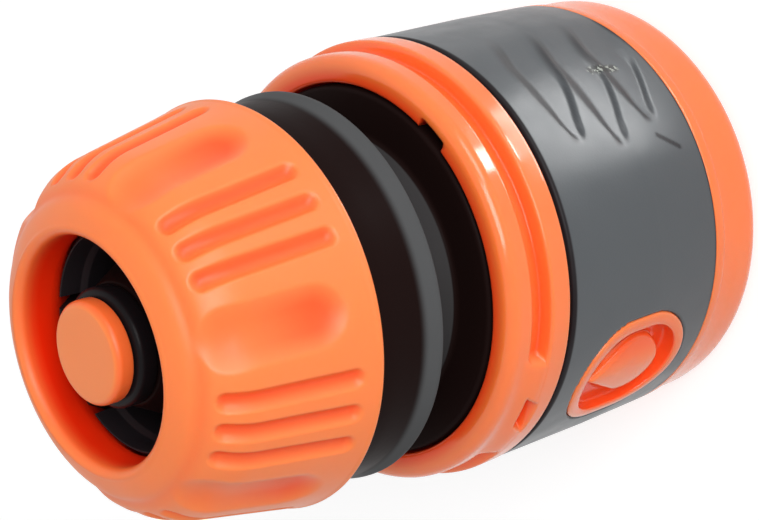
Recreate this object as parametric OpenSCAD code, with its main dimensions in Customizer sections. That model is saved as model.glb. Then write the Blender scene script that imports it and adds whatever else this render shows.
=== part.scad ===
// Quick connector for a half inch garden hose, with a water stop valve.
// The axis is Z. Z = 0 is the sleeve's end face on the tap side, and the hose goes in at the top.

/* [Release sleeve] */
// Room for the spring between the barrel and the sleeve's bore
spring_room = 3.9; // [3.6:0.1:4.2]
// Wall between the spring's bore and the grip band
sleeve_wall = 1.7; // [1.4:0.05:2]
// How far the raised ring stands over the grip band
ring_over_band = 0.1; // [0:0.05:0.3]
// Wall of the front lip ring
lip_wall = 2.3; // [2:0.05:2.5]
// How far the plain collar at the end face stays under the grip band
collar_under_band = 0.4; // [0.3:0.05:0.6]
// Rounding of the collar's outer edge
collar_round = 2; // [1:0.1:2.4]
// Play between the retaining ring and its counterbore in the end face
end_bore_gap = 0.3; // [0.2:0.05:0.4]
// Depth of that counterbore
end_bore_depth = 2; // [1.9:0.05:2.1]
// Thickness of the inward flange above the counterbore
end_flange_t = 1.1; // [0.8:0.05:1.2]
// How far the sleeve is pulled back towards the hose
sleeve_travel = 5; // [4:0.1:5]
// Height of the shoulder that the spring pushes on
spring_seat_z = 14; // [13.6:0.1:15]

/* [Sleeve details] */
// Length of the front lip ring with the long grooves
lip_len = 4; // [3.6:0.1:4.2]
// Length of the raised ring
ring_len = 2.1; // [2:0.05:2.6]
// Width of the long grooves
groove_w = 1.55; // [1:0.05:1.7]
// Depth of the long grooves under the lip ring
groove_depth = 0.7; // [0.4:0.05:0.9]
// Angle of the solid bridge between two long grooves
groove_bridge_deg = 30; // [28:1:50]
// Angle covered by a key notch in the lip
notch_deg = 10; // [6:1:14]
// Radial depth of a key notch
notch_depth = 1.2; // [0.8:0.05:1.4]
// Length of a key notch along the axis
notch_len = 2.5; // [1.5:0.1:3]
// Width of the skewed slot in each groove bridge
window_w = 3; // [1.5:0.1:3.2]
// Length of that slot along the axis
window_h = 1.3; // [1:0.1:1.6]
// Sideways lean of that slot
window_skew = 0.75; // [0:0.05:1.2]
// How far that slot lies beside the badge's middle
window_shift = 0.8; // [0:0.1:1.2]
// Depth of that slot under the long grooves' floor
window_depth = 0.7; // [0.4:0.05:0.8]

/* [Grip band] */
// Height at which the soft band starts
band_z0 = 6.6; // [6.4:0.1:7.5]
// Length of the soft band
band_len = 18.15; // [17.5:0.05:19]
// Thickness of the soft band
band_t = 1.1; // [1:0.05:1.3]
// Dark gap between the band and the raised ring
band_gap = 0.55; // [0.2:0.05:0.6]
// Number of thumb flutes in a group
flute_count = 3; // [1:1:3]
// Distance between two flutes
flute_pitch = 4.9; // [4.4:0.1:5.2]
// Depth of a flute at its middle
flute_depth = 0.7; // [0.3:0.05:0.8]
// Radius of a flute's rounded section
flute_r = 2.1; // [1.4:0.1:2.4]
// Radius of a flute's curve along the band
flute_sweep_r = 41; // [30:0.5:50]
// Angle from a badge to the middle of the flutes
flute_from_badge = 85; // [80:1:95]

/* [Badge] */
// Direction of the first badge around the axis
badge_a = -132; // [-180:1:180]
// How far the badge's middle lies below the middle of the band
badge_below_middle = 0.175; // [0:0.025:1]
// Half width of the badge rim
badge_r = 5.6; // [5:0.1:6.2]
// Half length of the straight sides of the badge
badge_half = 1; // [0.5:0.1:1.4]
// Width of the badge rim
badge_rim = 0.95; // [0.7:0.05:1.2]
// Depth of the badge's flat floor under the band
badge_depth = 1.45; // [1.2:0.05:1.5]
// Radius of the drop's round end
drop_r = 2.9; // [2.2:0.1:3.2]
// Distance from the drop's middle to its tip
drop_tip = 5.7; // [4.5:0.1:5.8]

/* [Hose body] */
// Thickness of the spring flange
flange_t = 2.4; // [2:0.1:2.8]
// Wall of the neck round the barrel's spigot
neck_wall = 2.05; // [1.9:0.05:2.5]
// Length of the open neck
neck_len = 5.5; // [5.3:0.1:6]
// How far the drum's rim flares out over the drum
flare_h = 0.55; // [0.3:0.05:0.7]
// How far the drum stands over the screw boss
drum_step = 2; // [1.8:0.1:2.3]
// Length of the drum
drum_len = 6.5; // [6:0.1:7]
// Length of the flare from the rim to the drum
flare_len = 1.9; // [1:0.1:2.4]
// Wall of the screw boss, with its thread
boss_wall = 1.5; // [1.2:0.05:1.6]
// Length of the screw boss
boss_len = 5.7; // [5:0.1:5.8]
// Room for the jaws between the hose and the screw boss
jaw_room = 3.15; // [2.8:0.05:3.3]
// Thickness of the wall between the cup and the neck's bore
cup_floor_t = 3.5; // [2.5:0.1:4.5]

/* [Spigot] */
// Radius of the plain shank that the hose ends on
shank_r = 6.4; // [6.35:0.05:6.6]
// How far the barbs stay under the shank
barb_under_shank = 0.1; // [0.05:0.05:0.3]
// Radius at the foot of a barb
barb_root_r = 5.5; // [5.3:0.05:5.8]
// Outer radius of the spigot's rim
spigot_rim_r = 5.16; // [5.1:0.02:5.3]
// Radius of the water way
spigot_bore_r = 4.2; // [4.1:0.05:4.3]
// Number of barbs
barb_count = 3; // [2:1:4]
// Height of the spigot's rim above the boss
spigot_above = 6.7; // [6.5:0.1:7]

/* [Socket barrel] */
// Wall of the barrel round its mouth
barrel_wall = 3.3; // [3.1:0.05:3.5]
// How far the mouth, which takes a nipple's collar, is wider than the smooth bore
mouth_step = 1.15; // [1:0.05:1.3]
// Radius of the smooth bore that takes the nose of a nipple
seal_bore_r = 7.75; // [7.6:0.05:7.8]
// How far the barrel's end lies behind the sleeve's end face
barrel_recess = 0.4; // [0.2:0.05:0.6]
// Height at which the mouth narrows to the smooth bore
mouth_end_z = 15; // [14:0.1:17]
// Length of the smooth bore
seal_bore_len = 7.5; // [6.5:0.1:7.8]
// How far the valve chamber is wider than the smooth bore
chamber_step = 0.2; // [0.1:0.05:0.25]
// Wall of the barrel's spigot inside the neck
insert_wall = 2; // [1.9:0.05:2.2]
// Length of that spigot
insert_len = 7.1; // [6.5:0.1:7.3]

/* [Seals and ring] */
// Radius of the section of the barrel's O-ring
o_ring_section = 0.6; // [0.5:0.02:0.62]
// Depth of the O-ring's groove
o_ring_groove = 1.2; // [1.1:0.05:1.3]
// Thickness of the split retaining ring
ring_t = 0.85; // [0.7:0.05:0.9]
// How far the retaining ring stands out of the barrel
ring_stand = 1.6; // [1.2:0.05:1.7]
// Opening of the retaining ring
ring_gap_deg = 40; // [20:5:60]

/* [Claws] */
// Number of claws
claw_count = 4; // [4:1:4]
// Height of a claw's lower face
claw_z = 8.3; // [8.25:0.05:8.6]
// Height of a claw
claw_h = 4.4; // [4:0.1:4.6]
// Width of a claw's tooth
claw_w = 7.6; // [6:0.1:8]
// Width of a claw over its ears
claw_ear_w = 10.4; // [9.5:0.1:11]
// Play between the closed claws and a nipple as wide as the smooth bore
claw_in_gap = 0.15; // [0.1:0.05:0.3]
// How far a claw moves out while the sleeve makes its full travel
claw_lift = 1.2; // [1:0.05:1.2]
// Distance from the barrel to the sleeve's cone, level with the claws' upper faces
cam_stand = 1.2; // [1.1:0.05:1.3]

/* [Valve] */
// Radius of the plunger's head
head_r = 4.2; // [4:0.05:4.4]
// Height of the plunger's head
head_h = 1.6; // [1.2:0.1:2]
// Rounding of the head's edge
head_round = 0.6; // [0.3:0.05:0.8]
// Outer radius of the rubber seal under the head
seal_r = 4.85; // [4.7:0.05:5]
// Thickness of the rubber seal
seal_t = 1.7; // [1.4:0.1:1.9]
// Radius of the plunger's core
stem_r = 1.6; // [1.3:0.1:1.8]
// Thickness of the plunger's guide ribs
rib_t = 1.2; // [0.9:0.1:1.6]
// How far a nipple pushes the plunger
valve_travel = 4; // [3:0.1:4]
// Distance from the smooth bore to the pusher's lower face
foot_above_bore = 0.8; // [0.4:0.1:1.2]
// Thickness of the pusher
foot_t = 2; // [1.6:0.1:2.4]
// Play round the pusher in the valve chamber
foot_gap = 1.05; // [0.6:0.05:1.3]

/* [Springs] */
// Wire diameter of the sleeve's spring
sleeve_wire = 1.2; // [1:0.05:1.3]
// Turns of the sleeve's spring
sleeve_turns = 6; // [5:0.5:7]
// Wire diameter of the valve's spring
valve_wire = 0.8; // [0.6:0.05:0.9]
// Turns of the valve's spring
valve_turns = 7; // [6:0.5:8]
// Mean radius of the valve's spring
valve_coil_r = 5; // [4.8:0.05:5.2]

/* [Gripping collet] */
// Number of jaws
jaw_count = 6; // [4:1:8]
// Width of the slots between jaws
jaw_slot = 1.1; // [0.6:0.1:1.6]
// Direction of the first slot around the axis
jaw_a = 9; // [0:1:60]
// How far the jaws' teeth reach into the hose hole
jaw_reach = 0.85; // [0.6:0.05:1]
// Depth of the jaws' teeth
tooth_depth = 0.35; // [0.2:0.05:0.4]
// Number of teeth on a jaw
tooth_count = 4; // [3:1:5]
// Height of the collet's ring
collet_ring_h = 1.4; // [1.2:0.05:1.5]
// How far the collet's ring reaches into the hose hole
collet_ring_reach = 0.05; // [0:0.05:0.2]

/* [Hose nut] */
// Wall of the nut at its open rim
nut_wall = 2.7; // [2.5:0.05:3]
// Taper of the nut's side, as radius lost per millimetre
nut_taper = 0.2; // [0.16:0.01:0.22]
// Radius of the shoulder's curve
nut_shoulder_r = 7; // [6:0.1:8]
// Room for the hose's wall between the shank and the nut's hole
hose_room = 2.85; // [2.8:0.05:3.1]
// Rounding of the hole's edge
hole_round = 0.9; // [0.5:0.05:1]
// Length of the hole's straight wall below its rounded edge
hole_wall = 2.9; // [2.5:0.1:3.1]
// Length of the nut
nut_len = 15.65; // [15.4:0.05:15.9]
// Number of groove groups round the nut
lobe_count = 6; // [5:1:6]
// Direction of the middle of the first group of narrow grooves
lobe_a = -58.5; // [-180:0.5:180]
// Narrow grooves in a group
rib_grooves = 3; // [2:1:3]
// Angle between two narrow grooves
rib_step_deg = 10.5; // [9:0.5:12]
// Radius of a narrow groove's section
narrow_r = 1; // [0.8:0.05:1.2]
// Depth of a narrow groove at its rear end
narrow_depth = 0.4; // [0.3:0.05:0.6]
// Radius of a wide scallop's section
scallop_r = 5.6; // [4.5:0.1:6]
// Depth of a wide scallop at its rear end
scallop_depth = 0.65; // [0.4:0.05:0.8]
// Distance from the nut's rim to the narrow grooves
narrow_start = 1.8; // [1.2:0.1:2.5]
// Distance from the nut's rim to the scallops
scallop_start = 2.8; // [1.8:0.1:3.2]
// How much steeper the narrow grooves' floor is than the side
narrow_dip = 2; // [0:0.1:3]
// How much steeper the scallops' floor is than the side
scallop_dip = 4.5; // [2:0.1:5]

/* [Clearances] */
// Play between the nut and the drum, and between the boss and the collet
screw_gap = 0.2; // [0.1:0.05:0.3]
// Radial play between the nut's bore and the boss
thread_gap = 0.4; // [0.3:0.05:0.45]
// Play round the jaws inside the nut
collet_gap = 0.25; // [0.2:0.05:0.3]
// Play between the claws and the sleeve's cone
cam_gap = 0.15; // [0.1:0.01:0.2]
// Play round a claw in its window
window_gap = 0.25; // [0.2:0.05:0.35]
// Play round the spring flange in the sleeve's bore
flange_gap = 0.2; // [0.15:0.05:0.3]
// Play round the valve's spring in its pocket
pocket_gap = 0.9; // [0.5:0.1:1]
// Play of fixed pieces that are pushed into each other
seat_gap = 0.05; // [0.03:0.01:0.08]

/* [Hidden] */
$fn = 96;

orange = [1, 0.45, 0.2];
black = [0.1, 0.1, 0.1];
grey = [0.38, 0.4, 0.42];
steel = [0.7, 0.7, 0.72];

// Radii, worked out from the smooth bore outwards
mouth_r = seal_bore_r + mouth_step;
barrel_r = mouth_r + barrel_wall;
chamber_r = seal_bore_r + chamber_step;
insert_r = chamber_r + insert_wall;
insert_bore_r = insert_r + 2 * seat_gap;
neck_r = insert_bore_r + neck_wall;
claw_in_r = seal_bore_r + claw_in_gap;
cam_r = barrel_r + cam_stand;
foot_r = chamber_r - foot_gap;
ring_r = barrel_r + ring_stand;
end_bore_r = ring_r + end_bore_gap;
sleeve_bore_r = barrel_r + spring_room;
flange_r = sleeve_bore_r - flange_gap;
lip_r = sleeve_bore_r + lip_wall;
groove_floor_r = lip_r - groove_depth;
recess_r = sleeve_bore_r + sleeve_wall;
band_r = recess_r + band_t;
sleeve_r = band_r + ring_over_band;
collar_r = band_r - collar_under_band;
badge_floor = band_r - badge_depth;

// Radii, worked out from the hose's shank outwards
barb_r = shank_r - barb_under_shank;
hose_hole_r = shank_r + hose_room;
jaw_in_r = hose_hole_r - jaw_reach;
collet_ring_r = hose_hole_r - collet_ring_reach;
cup_r = hose_hole_r + jaw_room;
boss_r = cup_r + boss_wall;
drum_r = boss_r + drum_step;
rim_r = drum_r + flare_h;
nut_bore_r = boss_r + thread_gap;
nut_r = nut_bore_r + nut_wall;

// Heights of the main faces, worked out from the lengths above
band_z1 = band_z0 + band_len;
groove_z = band_z1 + band_gap + ring_len;
sleeve_len = groove_z + lip_len;
badge_z = band_z0 + band_len / 2 - badge_below_middle;
seal_bore_z0 = mouth_end_z + mouth_step + seat_gap;
foot_z = seal_bore_z0 + seal_bore_len + foot_above_bore;
flange_z = sleeve_len - flange_t;
rim_z = sleeve_len + neck_len;
drum_z1 = rim_z + drum_len;
boss_z1 = drum_z1 + boss_len;
spigot_z1 = boss_z1 + spigot_above;
insert_z1 = flange_z + insert_len;
neck_bore_z1 = insert_z1 + 0.2;
cup_floor_z = neck_bore_z1 + cup_floor_t;
spring_pocket_r = valve_coil_r + valve_wire / 2 + pocket_gap;
spring_pocket_z = insert_z1 + 1.8;
nut_z0 = drum_z1 + screw_gap;
nut_z1 = nut_z0 + nut_len;
collet_z0 = boss_z1 + screw_gap;
seal_z0 = spigot_z1 + seat_gap;
head_z0 = seal_z0 + seal_t + seat_gap;

// The claws slide on a cone, so their lift is in proportion to the sleeve's travel
cam_slope = claw_lift / sleeve_travel;
claw_z1 = claw_z + claw_h;
cam_z0 = end_bore_depth + end_flange_t;
function cam_at(z) = cam_r + cam_slope * (claw_z1 - z);

badge_angles = [badge_a, badge_a + 180];
edge = 0.3;
over = 1;
lead_in = 0.4;

// Points of an arc in a turned profile, from angle a0 to a1
function arc(x, z, r, a0, a1, steps = 6) =
    [for (i = [0 : steps]) let (a = a0 + (a1 - a0) * i / steps) [x + r * cos(a), z + r * sin(a)]];

module turned(points) {
    rotate_extrude()
        polygon(points);
}

module tube(r_in, r_out, z0, z1) {
    translate([0, 0, z0])
        difference() {
            cylinder(r = r_out, h = z1 - z0);
            translate([0, 0, -over])
                cylinder(r = r_in, h = z1 - z0 + 2 * over);
        }
}

// A flat outline made into a bar that points out from the axis
module radial_bar(a, z, x0, x1) {
    rotate([0, 0, a])
        translate([x0, 0, z])
            rotate([90, 0, 90])
                linear_extrude(x1 - x0)
                    children();
}

// Round wire wound round Z, with one flat turn at each end
module coil(mean_r, wire, z0, z1, turns, sides, steps) {
    rise = z1 - z0 - wire;
    flat = wire * 1.02;
    count = ceil(turns * steps);
    function height(t) =
        t < 1 ? flat * t
        : t > turns - 1 ? rise - flat * (turns - t)
        : flat + (rise - 2 * flat) * (t - 1) / (turns - 2);
    points = [
        for (i = [0 : count], j = [0 : sides - 1])
            let (
                t = turns * i / count,
                u = 360 * t,
                v = 360 * j / sides,
                r = mean_r + wire / 2 * cos(v)
            )
            [r * cos(u), r * sin(u), z0 + wire / 2 + height(t) + wire / 2 * sin(v)]
    ];
    walls = [
        for (i = [0 : count - 1], j = [0 : sides - 1])
            let (k = (j + 1) % sides)
            [i * sides + j, i * sides + k, (i + 1) * sides + k, (i + 1) * sides + j]
    ];
    polyhedron(points, concat(walls, [[for (j = [sides - 1 : -1 : 0]) j]],
        [[for (j = [0 : sides - 1]) count * sides + j]]), convexity = 8);
}

module badge_outline(inset) {
    for (s = [-1, 1])
        translate([0, s * badge_half])
            circle(r = badge_r - inset);
    square([2 * (badge_r - inset), 2 * badge_half], center = true);
}

module drop_outline() {
    lean = asin(drop_r / drop_tip);
    back = 1;
    translate([0, -back]) {
        circle(r = drop_r);
        polygon([[0, drop_tip], [-drop_r * cos(lean), drop_r * sin(lean)],
            [drop_r * cos(lean), drop_r * sin(lean)]]);
    }
}

// Orange rim round a flat floor, with a raised drop
module badge(a) {
    drop_under_band = 0.2;
    intersection() {
        tube(sleeve_bore_r + edge, band_r + seat_gap, band_z0, band_z1);
        difference() {
            radial_bar(a, badge_z, sleeve_bore_r, sleeve_r + over)
                badge_outline(0);
            radial_bar(a, badge_z, badge_floor, sleeve_r + 2 * over)
                badge_outline(badge_rim);
        }
    }
    intersection() {
        tube(sleeve_bore_r + edge, band_r - drop_under_band, band_z0, band_z1);
        radial_bar(a, badge_z, badge_floor - edge, sleeve_r)
            drop_outline();
    }
}

module sleeve_shell() {
    ring_z0 = band_z1 + band_gap;
    ring_front_round = 0.8;
    ring_back_round = 0.9;
    lip_round = 1.6;
    collar_draft = 0.15;
    bead_len = 1;
    bead_under_band = 0.2;
    barrel_gap = 0.3;
    turned(concat(
        [[end_bore_r, 0]],
        arc(collar_r - collar_round - collar_draft, collar_round, collar_round, -90, 0),
        [
            [collar_r, band_z0 - bead_len - 0.2],
            [band_r - bead_under_band, band_z0 - bead_len],
            [band_r - bead_under_band + 0.05, band_z0],
            [recess_r, band_z0],
            [recess_r, ring_z0]
        ],
        arc(sleeve_r - ring_front_round, ring_z0 + ring_front_round, ring_front_round, -60, 0, 4),
        arc(sleeve_r - ring_back_round, groove_z - ring_back_round, ring_back_round, 0, 60, 4),
        [[lip_r, groove_z]],
        arc(lip_r - lip_round, sleeve_len - lip_round, lip_round, 0, 90),
        [
            [sleeve_bore_r + lead_in, sleeve_len],
            [sleeve_bore_r, sleeve_len - lead_in],
            [sleeve_bore_r, spring_seat_z],
            [cam_at(spring_seat_z), spring_seat_z],
            [cam_at(cam_z0), cam_z0],
            [barrel_r + barrel_gap, cam_z0],
            [barrel_r + barrel_gap, end_bore_depth],
            [end_bore_r, end_bore_depth]
        ]
    ));
}

module ring_cut(a0, sweep, r0, z0, w) {
    rotate([0, 0, a0])
        rotate_extrude(angle = sweep)
            translate([r0, z0])
                square([sleeve_r - r0 + over, w]);
}

module release_sleeve() {
    window_z = groove_z + 0.25;
    color(orange)
        difference() {
            union() {
                sleeve_shell();
                for (a = badge_angles)
                    badge(a);
            }
            for (a = badge_angles) {
                ring_cut(a + groove_bridge_deg / 2, 180 - groove_bridge_deg, groove_floor_r, groove_z,
                    groove_w);
                radial_bar(a, window_z, groove_floor_r - window_depth, sleeve_r + over)
                    translate([-window_shift, 0])
                        polygon([
                            [(window_skew - window_w) / 2, window_h / 2],
                            [(window_skew + window_w) / 2, window_h / 2],
                            [(window_w - window_skew) / 2, -window_h / 2],
                            [-(window_w + window_skew) / 2, -window_h / 2]
                        ]);
                rotate([0, 0, a + 90 - notch_deg / 2])
                    rotate_extrude(angle = notch_deg)
                        translate([flange_r, sleeve_len - notch_len])
                            square([sleeve_bore_r + notch_depth - flange_r, notch_len + over]);
            }
        }
}

// Ring-shaped cutter whose inner edge is flatter than the band, so that it runs out at both ends
module flute(a, z) {
    rotate([0, 0, a])
        translate([band_r - flute_depth - flute_sweep_r, 0, z])
            rotate_extrude()
                translate([flute_sweep_r + flute_r, 0])
                    circle(r = flute_r);
}

module grip_band() {
    inner = recess_r + seat_gap;
    z0 = band_z0 + seat_gap;
    z1 = band_z1;
    front_taper = 0.15;
    taper_len = 8;
    color(grey)
        difference() {
            turned(concat(
                [[inner, z0], [band_r - front_taper, z0], [band_r, z0 + taper_len]],
                arc(band_r - edge, z1 - edge, edge, 0, 90, 3),
                [[inner, z1]]
            ));
            for (a = badge_angles) {
                radial_bar(a, badge_z, sleeve_bore_r, sleeve_r + over)
                    badge_outline(-seat_gap);
                for (i = [0 : flute_count - 1])
                    flute(a + flute_from_badge, badge_z + (i - (flute_count - 1) / 2) * flute_pitch);
            }
        }
}

// Saw teeth of the hose tail, from the shank up to the rim
shank_z1 = boss_z1 - 1.1;
function barbs() =
    let (pitch = (spigot_z1 - edge - shank_z1) / barb_count)
    [
        for (i = [0 : barb_count - 1])
            let (z = shank_z1 + i * pitch)
            each [[barb_r, z], [barb_r, z + edge],
                [i == barb_count - 1 ? spigot_rim_r : barb_root_r, z + pitch]]
    ];

module hose_body() {
    flare_r = 3.6;
    boss_edge = 0.5;
    color(black)
        turned(concat(
            [
                [insert_bore_r, flange_z],
                [flange_r - edge, flange_z],
                [flange_r, flange_z + edge],
                [flange_r, sleeve_len - edge],
                [flange_r - edge, sleeve_len],
                [neck_r + lead_in, sleeve_len],
                [neck_r, sleeve_len + lead_in],
                [neck_r, rim_z - lead_in],
                [neck_r + lead_in, rim_z]
            ],
            arc(rim_r - edge, rim_z + edge, edge, -90, 0, 3),
            arc(drum_r + flare_r, rim_z + flare_len + edge, flare_r, 212, 180, 4),
            [
                [drum_r, drum_z1 - edge],
                [drum_r - edge, drum_z1],
                [boss_r, drum_z1],
                [boss_r, boss_z1 - boss_edge],
                [boss_r - boss_edge, boss_z1],
                [cup_r, boss_z1],
                [cup_r, cup_floor_z],
                [shank_r, cup_floor_z],
                [shank_r, shank_z1]
            ],
            barbs(),
            [
                [spigot_rim_r - 0.25, spigot_z1],
                [spigot_bore_r, spigot_z1],
                [spigot_bore_r, spring_pocket_z],
                [spring_pocket_r, spring_pocket_z],
                [spring_pocket_r, neck_bore_z1],
                [insert_bore_r, neck_bore_z1]
            ]
        ));
}

// Where the retaining ring's groove starts, and its depth
ring_groove_z = barrel_recess + 0.5;
ring_groove = 0.6;

module socket_barrel() {
    ring_groove_end = ring_groove_z + ring_t + 2 * seat_gap;
    mouth_edge = 0.6;
    groove_mid = flange_z + insert_len / 2;
    groove_half = o_ring_section + 0.25;
    color(black)
        difference() {
            turned([
                [mouth_r + mouth_edge, barrel_recess],
                [barrel_r - edge, barrel_recess],
                [barrel_r, barrel_recess + edge],
                [barrel_r, ring_groove_z],
                [barrel_r - ring_groove, ring_groove_z],
                [barrel_r - ring_groove, ring_groove_end],
                [barrel_r, ring_groove_end],
                [barrel_r, flange_z - seat_gap],
                [insert_r, flange_z - seat_gap],
                [insert_r, groove_mid - groove_half],
                [insert_r - o_ring_groove, groove_mid - groove_half],
                [insert_r - o_ring_groove, groove_mid + groove_half],
                [insert_r, groove_mid + groove_half],
                [insert_r, insert_z1 - edge],
                [insert_r - edge, insert_z1],
                [chamber_r, insert_z1],
                [chamber_r, seal_bore_z0 + seal_bore_len],
                [seal_bore_r, seal_bore_z0 + seal_bore_len],
                [seal_bore_r, seal_bore_z0],
                [mouth_r, mouth_end_z],
                [mouth_r, barrel_recess + 1.5 * mouth_edge]
            ]);
            for (i = [0 : claw_count - 1])
                rotate([0, 0, 360 / claw_count * i])
                    translate([seal_bore_r - 2, -claw_w / 2 - window_gap, claw_z - window_gap])
                        cube([barrel_r, claw_w + 2 * window_gap, claw_h + 2 * window_gap]);
        }
}

module barrel_o_ring() {
    groove_floor = insert_r - o_ring_groove;
    color(black)
        translate([0, 0, flange_z + insert_len / 2])
            rotate_extrude()
                translate([groove_floor + o_ring_section + seat_gap, 0])
                    circle(r = o_ring_section);
}

module retaining_ring() {
    ring_in_r = barrel_r - ring_groove + seat_gap;
    color(steel)
        rotate([0, 0, badge_a + ring_gap_deg / 2])
            rotate_extrude(angle = 360 - ring_gap_deg)
                translate([ring_in_r, ring_groove_z + seat_gap])
                    square([ring_r - ring_in_r, ring_t]);
}

module sleeve_spring() {
    color(steel)
        coil((barrel_r + sleeve_bore_r) / 2, sleeve_wire, spring_seat_z + seat_gap, flange_z - seat_gap,
            sleeve_turns, 8, 24);
}

// Slug with a tooth inside the barrel, a cone-shaped back and ears that rest on the barrel
module claw(i) {
    lead = 0.6;
    ear_in = barrel_r + window_gap;
    color(black)
        rotate([0, 0, 360 / claw_count * i])
            intersection() {
                turned([
                    [claw_in_r + lead, claw_z],
                    [cam_at(claw_z) - cam_gap, claw_z],
                    [cam_at(claw_z1) - cam_gap, claw_z1],
                    [claw_in_r, claw_z1],
                    [claw_in_r, claw_z + 2 * lead]
                ]);
                union() {
                    translate([0, -claw_w / 2, claw_z - over])
                        cube([sleeve_r, claw_w, claw_h + 2 * over]);
                    difference() {
                        translate([0, -claw_ear_w / 2, claw_z - over])
                            cube([sleeve_r, claw_ear_w, claw_h + 2 * over]);
                        translate([0, 0, claw_z - 2 * over])
                            cylinder(r = ear_in, h = claw_h + 4 * over);
                    }
                }
            }
}

// Radius of the plunger's neck, which carries the seal
seal_seat_r = stem_r + 0.6;

// Head, neck through the seal, ribbed guide in the water way, and rod down to the pusher
module valve_plunger() {
    head_z1 = head_z0 + head_h;
    guide_z0 = spring_pocket_z + 0.5;
    guide_z1 = spigot_z1 - 0.6;
    rib_r = spigot_bore_r - 0.2;
    rod_z0 = foot_z + 0.2;
    color(orange) {
        turned(concat(
            [
                [0, rod_z0],
                [stem_r, rod_z0],
                [stem_r, guide_z1],
                [seal_seat_r, guide_z1],
                [seal_seat_r, head_z0],
                [head_r, head_z0]
            ],
            arc(head_r - head_round, head_z1 - head_round, head_round, 0, 90, 5),
            [[0, head_z1]]
        ));
        intersection() {
            translate([0, 0, guide_z0])
                cylinder(r = rib_r, h = guide_z1 - guide_z0);
            for (a = [0, 90])
                rotate([0, 0, a])
                    translate([-rib_r, -rib_t / 2, guide_z0])
                        cube([2 * rib_r, rib_t, guide_z1 - guide_z0]);
        }
    }
}

module valve_seal() {
    inner = seal_seat_r + seat_gap;
    seat_edge = 0.2;
    head_edge = 0.4;
    color(black)
        turned([
            [inner, seal_z0],
            [seal_r - seat_edge, seal_z0],
            [seal_r, seal_z0 + seat_edge],
            [seal_r, seal_z0 + seal_t - head_edge],
            [seal_r - head_edge, seal_z0 + seal_t],
            [inner, seal_z0 + seal_t]
        ]);
}

// Spoked wheel on the end of the plunger, which a nipple pushes
module valve_foot() {
    rim_w = 1.3;
    hub_r = stem_r + 1.1;
    color(black)
        difference() {
            union() {
                tube(foot_r - rim_w, foot_r, foot_z, foot_z + foot_t);
                translate([0, 0, foot_z])
                    cylinder(r = hub_r, h = foot_t);
                intersection() {
                    translate([0, 0, foot_z])
                        cylinder(r = foot_r - edge, h = foot_t);
                    for (a = [45, 135])
                        rotate([0, 0, a])
                            translate([-foot_r, -rib_t / 2, foot_z])
                                cube([2 * foot_r, rib_t, foot_t]);
                }
            }
            translate([0, 0, foot_z - over])
                cylinder(r = stem_r + seat_gap, h = foot_t + 2 * over);
        }
}

module valve_spring() {
    color(steel)
        coil(valve_coil_r, valve_wire, foot_z + foot_t + seat_gap, spring_pocket_z - seat_gap,
            valve_turns, 6, 20);
}

// Straight inner cone of the nut, from the collet's groove up to the hose hole
cone_z0 = collet_z0 + collet_ring_h + 0.15;
cone_z1 = nut_z1 - hole_round - hole_wall;
cone_r0 = cup_r + 0.4;
snap_h = 0.65;
cone_slope = (cone_r0 - hose_hole_r) / (cone_z1 - cone_z0);
function cone_at(z) = cone_r0 - cone_slope * (z - cone_z0);
snap_r = cone_r0 + 0.35;

module gripping_collet() {
    ring_z1 = collet_z0 + collet_ring_h;
    tip_z = cone_z1 - 0.1;
    side = collet_gap / cos(atan(cone_slope));
    pitch = (tip_z - 0.9 - ring_z1) / tooth_count;
    color(black)
        difference() {
            turned(concat(
                [
                    [collet_ring_r, collet_z0],
                    [cone_r0 - collet_gap, collet_z0],
                    [cone_r0 - collet_gap, ring_z1 - snap_h],
                    [snap_r - 0.1, ring_z1 - snap_h],
                    [snap_r - 0.1, ring_z1 - 0.1],
                    [cone_at(ring_z1) - side, ring_z1],
                    [cone_at(tip_z) - side, tip_z],
                    [jaw_in_r + tooth_depth, tip_z]
                ],
                [
                    for (i = [tooth_count - 1 : -1 : 0])
                        each [[jaw_in_r, ring_z1 + (i + 1) * pitch],
                            [jaw_in_r + tooth_depth, ring_z1 + i * pitch]]
                ]
            ));
            for (i = [0 : jaw_count - 1])
                rotate([0, 0, jaw_a + 360 / jaw_count * i])
                    translate([0, -jaw_slot / 2, ring_z1 + edge])
                        cube([sleeve_r, jaw_slot, nut_len]);
        }
}

// The shoulder's arc touches the tapered side and ends in the hole
nut_tilt = atan(nut_taper);
arc_rise = 0.987;
arc_z = nut_z1 - nut_shoulder_r * arc_rise;
arc_x = nut_r - nut_taper * (arc_z - nut_z0) - nut_shoulder_r / cos(nut_tilt);

// Rod with a round rear end that dips under the nut's tapered side and runs out over its shoulder
module side_groove(a, r, depth, start, dip) {
    end_reach = sqrt(r * r - (r - depth) * (r - depth));
    ball_z = nut_z0 + start + end_reach;
    face_r = nut_r - nut_taper * (ball_z - nut_z0);
    rotate([0, 0, a])
        translate([face_r + (r - depth) / cos(nut_tilt), 0, ball_z])
            rotate([0, -nut_tilt - dip, 0]) {
                sphere(r = r);
                cylinder(r = r, h = nut_len);
            }
}

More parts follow.
